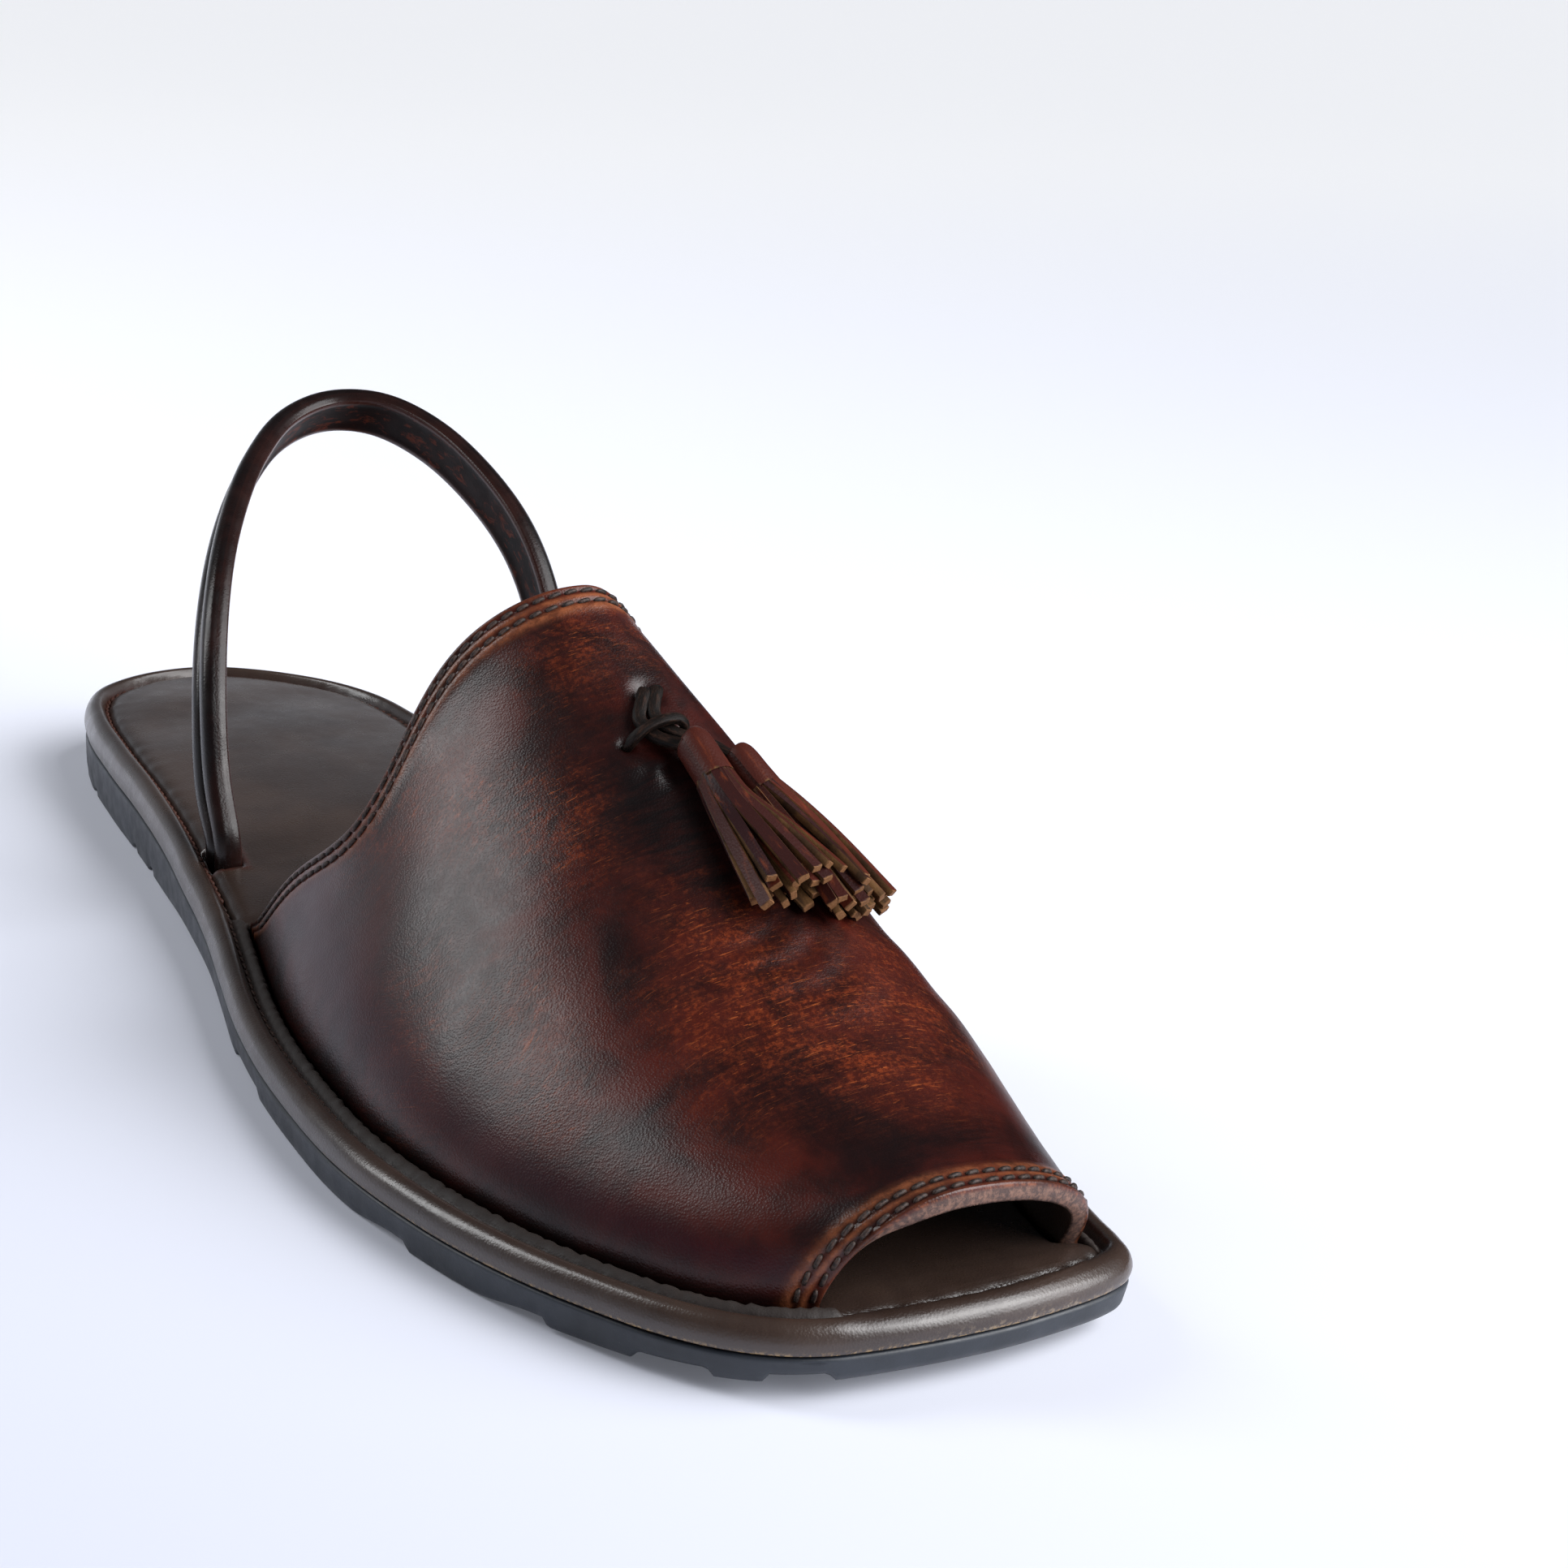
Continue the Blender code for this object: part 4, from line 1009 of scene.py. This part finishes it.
def stitches(skin, points, normals, pitch, length, radius, sink=0.35, tilt=0.0, red=0.0):
    """Row of stitches along a path: each is a short round thread whose ends dive into the leather.

    A stitch is a grid of rings along its length. With a from -1 to 1 along it, its radius shrinks by the
    root of 1 less the fourth power of a, and its middle line sinks with that fourth power.
    """
    s = run_length(points)
    count = max(2, int(s[-1] / pitch))
    at = (np.arange(count) + 0.5) * s[-1] / count
    spot = sample(at, s, points)
    up = unit(sample(at, s, normals))
    along = unit(sample(at + 0.3, s, points) - sample(at - 0.3, s, points))
    side = unit(np.cross(up, along))
    along = along * math.cos(tilt) + side * math.sin(tilt)
    side = unit(np.cross(up, along))
    a = np.linspace(-1, 1, 8)
    turn = np.linspace(0, TAU, 8, endpoint=False)
    thick = radius * np.maximum(1 - a ** 4, 0.0) ** 0.5
    rise = radius * (1 - sink) - radius * 1.1 * a ** 4
    ring_s = np.cos(turn)[None, :] * thick[:, None]
    ring_n = np.sin(turn)[None, :] * thick[:, None] + rise[:, None]
    ring_a = np.broadcast_to((a * length / 2)[:, None], ring_s.shape)
    table = spot[:, None, None]
    for axis, ring in ((along, ring_a), (side, ring_s), (up, ring_n)):
        table = table + axis[:, None, None] * ring[None, ..., None]
    skin.many(table, red=red)


def edge_stitches(material, shape):
    """Two rows of stitches beside the collar and two beside the toe arch, laid in the upper's troughs."""
    collar, arch, outer, normal = shape
    skin = Skin()
    columns = np.arange(2, len(COLUMNS) - 2)
    for away in (collar, arch):
        for row in EDGE_ROWS:
            index = np.argmin(np.abs(away - row), axis=0)[columns]
            stitches(skin, outer[index, columns], normal[index, columns], 2.7, 2.5, 0.36, 0.35, 0.14)
    return skin.piece("edge_stitches", material)


def rand_stitches(material):
    """Stitches along the groove between rand and footbed, round the heel and up both sides to the toe."""
    skin = Skin()
    order = np.concatenate([np.arange(HALF, len(RING)), np.arange(HALF)])
    height = seam_height(RING_U) + 0.6 * rim_height(RING_U)
    path = np.column_stack([inset(4.05 - 0.08 * beside_upper(4.0, 1.0)), height])
    upward = unit(np.column_stack([RING_NORMAL * 0.35, np.ones(len(RING))]))
    u, x = RING_U[order], RING_POINT[order, 1]
    heel_end, toe_start = 125.0, 274.0
    heel = u < heel_end
    forefoot = (u >= heel_end) & (u < toe_start)
    for keep, radius, sink, red in ((forefoot & (x > 0), 0.32, 0.6, 0.2), (heel, 0.4, 0.3, 1.0),
                                    (forefoot & (x < 0), 0.32, 0.6, 0.2)):
        run = order[keep]
        stitches(skin, path[run], upward[run], 2.5, 2.2, radius, sink, 0.3, red)
    return skin.piece("rand_stitches", material)


def section_rows(line, side, up, a, b):
    """A section carried along a line: its points lie a to the side of the line and b up from it."""
    return line[:, None] + side[:, None] * a[..., None] + up[:, None] * b[..., None]


def strap_foot(side):
    """Where one end of the strap stands on the rand's board."""
    point, normal = edge_at(edge_near(STRAP_BASE[side]))
    plan = point + normal * STRAP_INSET
    return np.array([plan[0], plan[1], seam_height(plan[0]) + BOARD_TOP + 0.3])


def heel_strap(material):
    """Folded band: a closed section, grooved outside and flat inside, carried along the strap's loop."""
    one, two = strap_foot("lateral"), strap_foot("medial")
    rise = np.array([0.0, 0.0, 6.0])
    path = np.array([one, one + rise] + STRAP_PATH + [two + rise, two], float)
    knots = run_length(path)
    at = np.linspace(0.0, knots[-1], 320)
    line = spline(knots, path, at)
    from_end = np.minimum(at, knots[-1] - at)
    hold = smooth(from_end / 22.0)[:, None]
    for _ in range(60):
        line[1:-1] += hold[1:-1] * (line[2:] + line[:-2] - 2 * line[1:-1]) / 4
    along = unit(np.gradient(line, axis=0))
    plane = unit(np.cross(two - one, line[len(line) // 2] - one))
    out = unit(np.cross(along, plane))
    out *= np.where(((line - (one + two) / 2) * out).sum(-1, keepdims=True) < 0, -1.0, 1.0)
    wide = np.cross(along, out)
    half = [
        # across the band, through the band, from the middle of the flat face to the groove
        (0.0, -0.72), (0.3, -0.72), (0.58, -0.76), (0.76, -0.92), (0.9, -0.9), (1.0, -0.5), (1.0, 0.05),
        (0.93, 0.58), (0.72, 0.94), (0.44, 1.0), (0.2, 0.8), (0.07, 0.5), (0.0, 0.36),
    ]
    _, section = closed_curve(half + [(-a, b) for a, b in half[-2:0:-1]], 72)
    section = section[:-1]
    a = section[:, 0] * STRAP_WIDTH / 2
    b = section[:, 1] * STRAP_THICK / 2
    give = 1 + 0.008 * ripple(at, 41.0, 51)[:, None]
    narrow = 1 - 0.2 * smooth((18.0 - from_end) / 12.0)[:, None]
    rows = section_rows(line, wide, out, a * give * narrow, b * give)
    skin = Skin()
    inside = smooth((-section[:, 1] - 0.5) / 0.2) * smooth((0.8 - np.abs(section[:, 0])) / 0.1)
    fold = bell(np.abs(section[:, 0]) - 0.86, 0.1) * (section[:, 1] < 0)
    # Painted shade along the bottom of the outer groove.
    groove = bell(section[:, 0], 0.12) * (section[:, 1] > 0)
    skin.grid(rows, wrap=True, uv=chart(a, at), inside=inside, fold=fold, groove=groove)
    for end in (0, -1):
        skin.cap(rows[end], line[end])
    return skin.piece("folded_strap", material, "heel_strap")


def frames(centres, normals):
    """Unit directions along a path, to its side and up from the face under it."""
    along = unit(np.gradient(centres, axis=0))
    side = unit(np.cross(normals, along))
    return along, side, np.cross(along, side)


def lace(skin, table, count, half_width, half_thick):
    """Flat lace: a rounded oblong carried along a smooth path over the upper."""
    table = np.asarray(table, float)
    centres, normals = over_upper(through(table, np.linspace(0, len(table) - 1, count)))
    _, side, up = frames(centres, normals)
    turn = np.linspace(0, TAU, 16, endpoint=False)
    a = np.sign(np.cos(turn)) * np.abs(np.cos(turn)) ** 0.6 * half_width
    b = np.sign(np.sin(turn)) * np.abs(np.sin(turn)) ** 0.6 * half_thick
    rows = section_rows(centres, side, up, a[None], b[None])
    skin.grid(rows, wrap=True, uv=chart(turn * half_width, run_length(centres)))
    for end in (0, -1):
        skin.cap(rows[end], centres[end])


def keeper_loop(material):
    """Lace loop over both thongs, both ends going into the upper."""
    skin = Skin()
    lace(skin, KEEPER_PATH, 48, KEEPER_RADIUS, KEEPER_RADIUS * 0.85)
    return skin.piece("keeper_loop", material, "keeper")


def tassel_head(skin, stations):
    """Rolled head: a spiral of growing radius carried along its stations, with a lid at both ends."""
    t = np.linspace(0, len(stations) - 1, 22)
    table = through(stations, t)
    centres, normals = over_upper(table[:, :3])
    along, side, up = frames(centres, normals)
    turn = np.linspace(0, TAU, 49)
    spiral = 0.92 + 0.1 * turn / TAU
    a = np.cos(turn + 2.4) * spiral * table[:, 3:4]
    b = np.sin(turn + 2.4) * spiral * table[:, 4:5]
    rows = section_rows(centres, side, up, a, b)
    wall = chart(turn * 2.7, t * 2.6)
    skin.grid(np.concatenate([rows, rows[:, :1]], 1), uv=np.concatenate([wall, wall[:, :1]], 1), tone=0.6)
    lid = np.linspace(1, 0, 6)[:, None, None]
    for end, rise, flesh in ((0, 0.4, 0.6), (-1, -1.2, 1.0)):
        top = centres[end] + (rows[end] - centres[end])[None] * lid + along[end] * rise * (1 - lid)
        skin.grid(np.concatenate([top, top[:, :1]], 1), flesh=flesh)


# Section of a strip, a rounded oblong, in halves of its width and thickness.
STRIP = np.array([
    (-1, -0.78), (-0.92, -1), (0, -1), (0.92, -1), (1, -0.78), (1, 0.78), (0.92, 1), (0, 1), (-0.92, 1),
    (-1, 0.78),
])


def tassel_strip(skin, skirt, rng, k, count, near, width, thick):
    """Strip k of a layer of count strips: an oblong section on a path down the skirt.

    The path leaves the head's edge at its own angle, spreads with the skirt's width and thickness and sags
    by the square of its distance from the middle. The section twists a little on the way down.
    """
    angle = TAU * (k + 0.3 * rng.uniform(-1, 1) + 0.5 * (near < 1)) / count
    reach = rng.uniform(0.88, 1.0)
    t = np.append(np.linspace(0, 0.97, 15), [0.994, 1.0]) * (len(skirt) - 1) * reach
    table = through(skirt, t)
    centres, normals = over_upper(table[:, :3])
    _, side, up = frames(centres, normals)
    grow = t / t[-1]
    lean = angle + 0.12 * rng.uniform(-1, 1) * grow
    a = np.cos(lean) * table[:, 3] * near + 0.4 * rng.normal() * grow ** 2
    b = np.sin(lean) * table[:, 4] * near + 0.12 * rng.normal() * grow ** 2 - a ** 2 / 64.0
    line = centres + side * a[:, None] + up * b[:, None]
    out = side * np.cos(lean)[:, None] / table[:, 3:4] + up * np.sin(lean)[:, None] / table[:, 4:5]
    out = unit(out)
    path = unit(np.gradient(line, axis=0))
    out = unit(out - path * (out * path).sum(-1, keepdims=True))
    over = np.cross(path, out)
    twist = (0.35 * rng.normal() * grow)[:, None]
    turned_out = out * np.cos(twist) + over * np.sin(twist)
    turned_over = over * np.cos(twist) - out * np.sin(twist)
    sx = STRIP[:, 0] * width * rng.uniform(0.88, 1.12) / 2
    sy = STRIP[:, 1] * thick / 2
    rows = section_rows(line, turned_over, turned_out, sx[None], sy[None])
    tone = rng.uniform(0.0, 1.0)
    skin.grid(rows, wrap=True, uv=chart(sx + 10.0 * k, t * 9.0), flesh=STRIP[:, 1] < 0.9, tone=tone)
    face = line[-1] + path[-1] * 0.12
    rim = face + (rows[-1] - line[-1]) * 0.9
    skin.grid(np.array([rows[-1], rim]), wrap=True, end=1.0, flesh=1.0)
    skin.cap(rim, face, end=1.0, flesh=1.0)
    skin.cap(rows[0], line[0], flesh=1.0)


def tassel(name, lace_paint, paint):
    """One tassel: its thong as one piece, and its rolled head with the strips of its skirt as another."""
    spec = TASSELS[name]
    rng = np.random.default_rng(spec["seed"])
    thong = Skin()
    lace(thong, spec["thong"], 40, 1.05, 0.75)
    thong.piece(name + "_thong", lace_paint)
    skin = Skin()
    tassel_head(skin, np.array(spec["head"]))
    for layer in STRIP_LAYERS:
        for k in range(layer[0]):
            tassel_strip(skin, np.array(spec["skirt"]), rng, k, *layer)
    return skin.piece(name + "_leather", paint, name, sharp=38.0)


def soft_light(name, spot, target, size, power, tint):
    """Rectangular studio light aimed at a point."""
    data = bpy.data.lights.new(name, "AREA")
    data.shape = "RECTANGLE"
    data.size, data.size_y = size
    data.energy = power
    data.color = tint
    lamp = bpy.data.objects.new(name, data)
    lamp.location = spot
    lamp.rotation_euler = (Vector(target) - Vector(spot)).to_track_quat("-Z", "Y").to_euler()
    bpy.context.scene.collection.objects.link(lamp)


def soft_sun(name, towards, strength, spread, tint):
    """Broad distant light from a direction, spread degrees wide."""
    data = bpy.data.lights.new(name, "SUN")
    data.energy = strength
    data.angle = math.radians(spread)
    data.color = tint
    lamp = bpy.data.objects.new(name, data)
    lamp.rotation_euler = Vector(towards).to_track_quat("Z", "Y").to_euler()
    bpy.context.scene.collection.objects.link(lamp)


def studio_floor():
    """Plain pale floor with painted shadow, a little bluer and darker to the left of the shoe, painted
    whiter far behind, and glowing a little with its own light.
    """
    # The floor glows a little with its own light.
    f = Finish("studio_floor", Roughness=0.7, Emission_Strength=0.09)
    f.set(Emission_Color=colour(240, 243, 255))
    place_of = f.node("ShaderNodeSeparateXYZ", {0: f.object})
    # Painted shadow: darker and bluer to the left of the shoe. Painted light: whiter far behind.
    away = f.math("ADD", place_of.outputs["X"], f.math("MULTIPLY", place_of.outputs["Y"], 0.3))
    near = f.mix(colour(198, 202, 217), colour(239, 241, 250), f.span(away, -0.28, 0.2))
    f.set(Base_Color=f.mix(near, colour(254, 254, 255), f.span(place_of.outputs["Y"], 0.25, 1.5)))
    bpy.ops.mesh.primitive_plane_add(size=90.0, location=(0, 0, 0))
    floor = bpy.context.object
    floor.name = "studio_floor"
    floor.data.materials.append(f.material)


def studio_sky():
    """Dim surround, brighter near the horizon and dark overhead."""
    world = bpy.data.worlds.new("studio")
    world.use_nodes = True
    nodes, links = world.node_tree.nodes, world.node_tree.links
    parts = nodes.new("ShaderNodeSeparateXYZ")
    links.new(nodes.new("ShaderNodeTexCoord").outputs["Generated"], parts.inputs[0])
    fade = nodes.new("ShaderNodeMapRange")
    fade.interpolation_type = "SMOOTHSTEP"
    for key, value in SKY_FADE.items():
        fade.inputs[key].default_value = value
    links.new(parts.outputs["Z"], fade.inputs["Value"])
    sky = nodes["Background"]
    links.new(fade.outputs["Result"], sky.inputs["Strength"])
    sky.inputs["Color"].default_value = SKY_TINT
    bpy.context.scene.world = world


def dark_card():
    """Black card standing beside the object, seen only in its reflections."""
    mesh = bpy.data.meshes.new("dark_card")
    x, front, back, top = 0.13, -0.2, 0.1, 0.12
    corners = [(x, front, 0.0), (x, back, 0.0), (x, back, top), (x, front, top)]
    mesh.from_pydata(corners, [], [(0, 1, 2, 3)])
    mesh.materials.append(Finish("dark_card", Base_Color=colour(16, 12, 12), Roughness=0.9).material)
    card = bpy.data.objects.new("dark_card", mesh)
    bpy.context.scene.collection.objects.link(card)
    card.visible_camera = False
    card.visible_diffuse = False
    card.visible_shadow = False


def studio():
    """Floor, surround, soft lights and the camera at the photograph's place."""
    studio_floor()
    studio_sky()
    dark_card()
    bpy.context.scene.view_settings.view_transform = "Standard"
    soft_sun("key", **SUN)
    for name, box in BOXES.items():
        soft_light(name, *box)

    sin_head, cos_head = math.sin(CAMERA_HEAD), math.cos(CAMERA_HEAD)
    sin_pitch, cos_pitch = math.sin(CAMERA_PITCH), math.cos(CAMERA_PITCH)
    sin_roll, cos_roll = math.sin(CAMERA_ROLL), math.cos(CAMERA_ROLL)
    right = np.array([cos_head, -sin_head, 0.0])
    ahead = np.array([sin_head * cos_pitch, cos_head * cos_pitch, -sin_pitch])
    up = np.array([sin_head * sin_pitch, cos_head * sin_pitch, cos_pitch])
    data = bpy.data.cameras.new("camera")
    data.sensor_width = SENSOR
    data.lens = SENSOR * CAMERA_FOCAL / CAMERA_FRAME
    data.clip_start = 0.01
    camera = bpy.data.objects.new("camera", data)
    turned = np.eye(4)
    turned[:3, 0] = cos_roll * right + sin_roll * up
    turned[:3, 1] = cos_roll * up - sin_roll * right
    turned[:3, 2] = -ahead
    turned[:3, 3] = place(CAMERA_SPOT)
    camera.matrix_world = Matrix(turned.tolist())
    bpy.context.scene.collection.objects.link(camera)
    bpy.context.scene.camera = camera


def dress():
    """Make every piece with its finish."""
    footbed_paint = footbed_leather()
    thread = waxed_thread()
    lace_paint = lace_leather()
    tassel_paint = tassel_leather()
    rubber_sole(black_rubber())
    rolled_rand(footbed_paint)
    footbed(footbed_paint)
    upper, shape = vamp(burnished_leather())
    edge_stitches(thread, shape)
    rand_stitches(thread)
    heel_strap(strap_leather())
    keeper_loop(lace_paint)
    for name in TASSELS:
        tassel(name, lace_paint, tassel_paint)


dress()
studio()
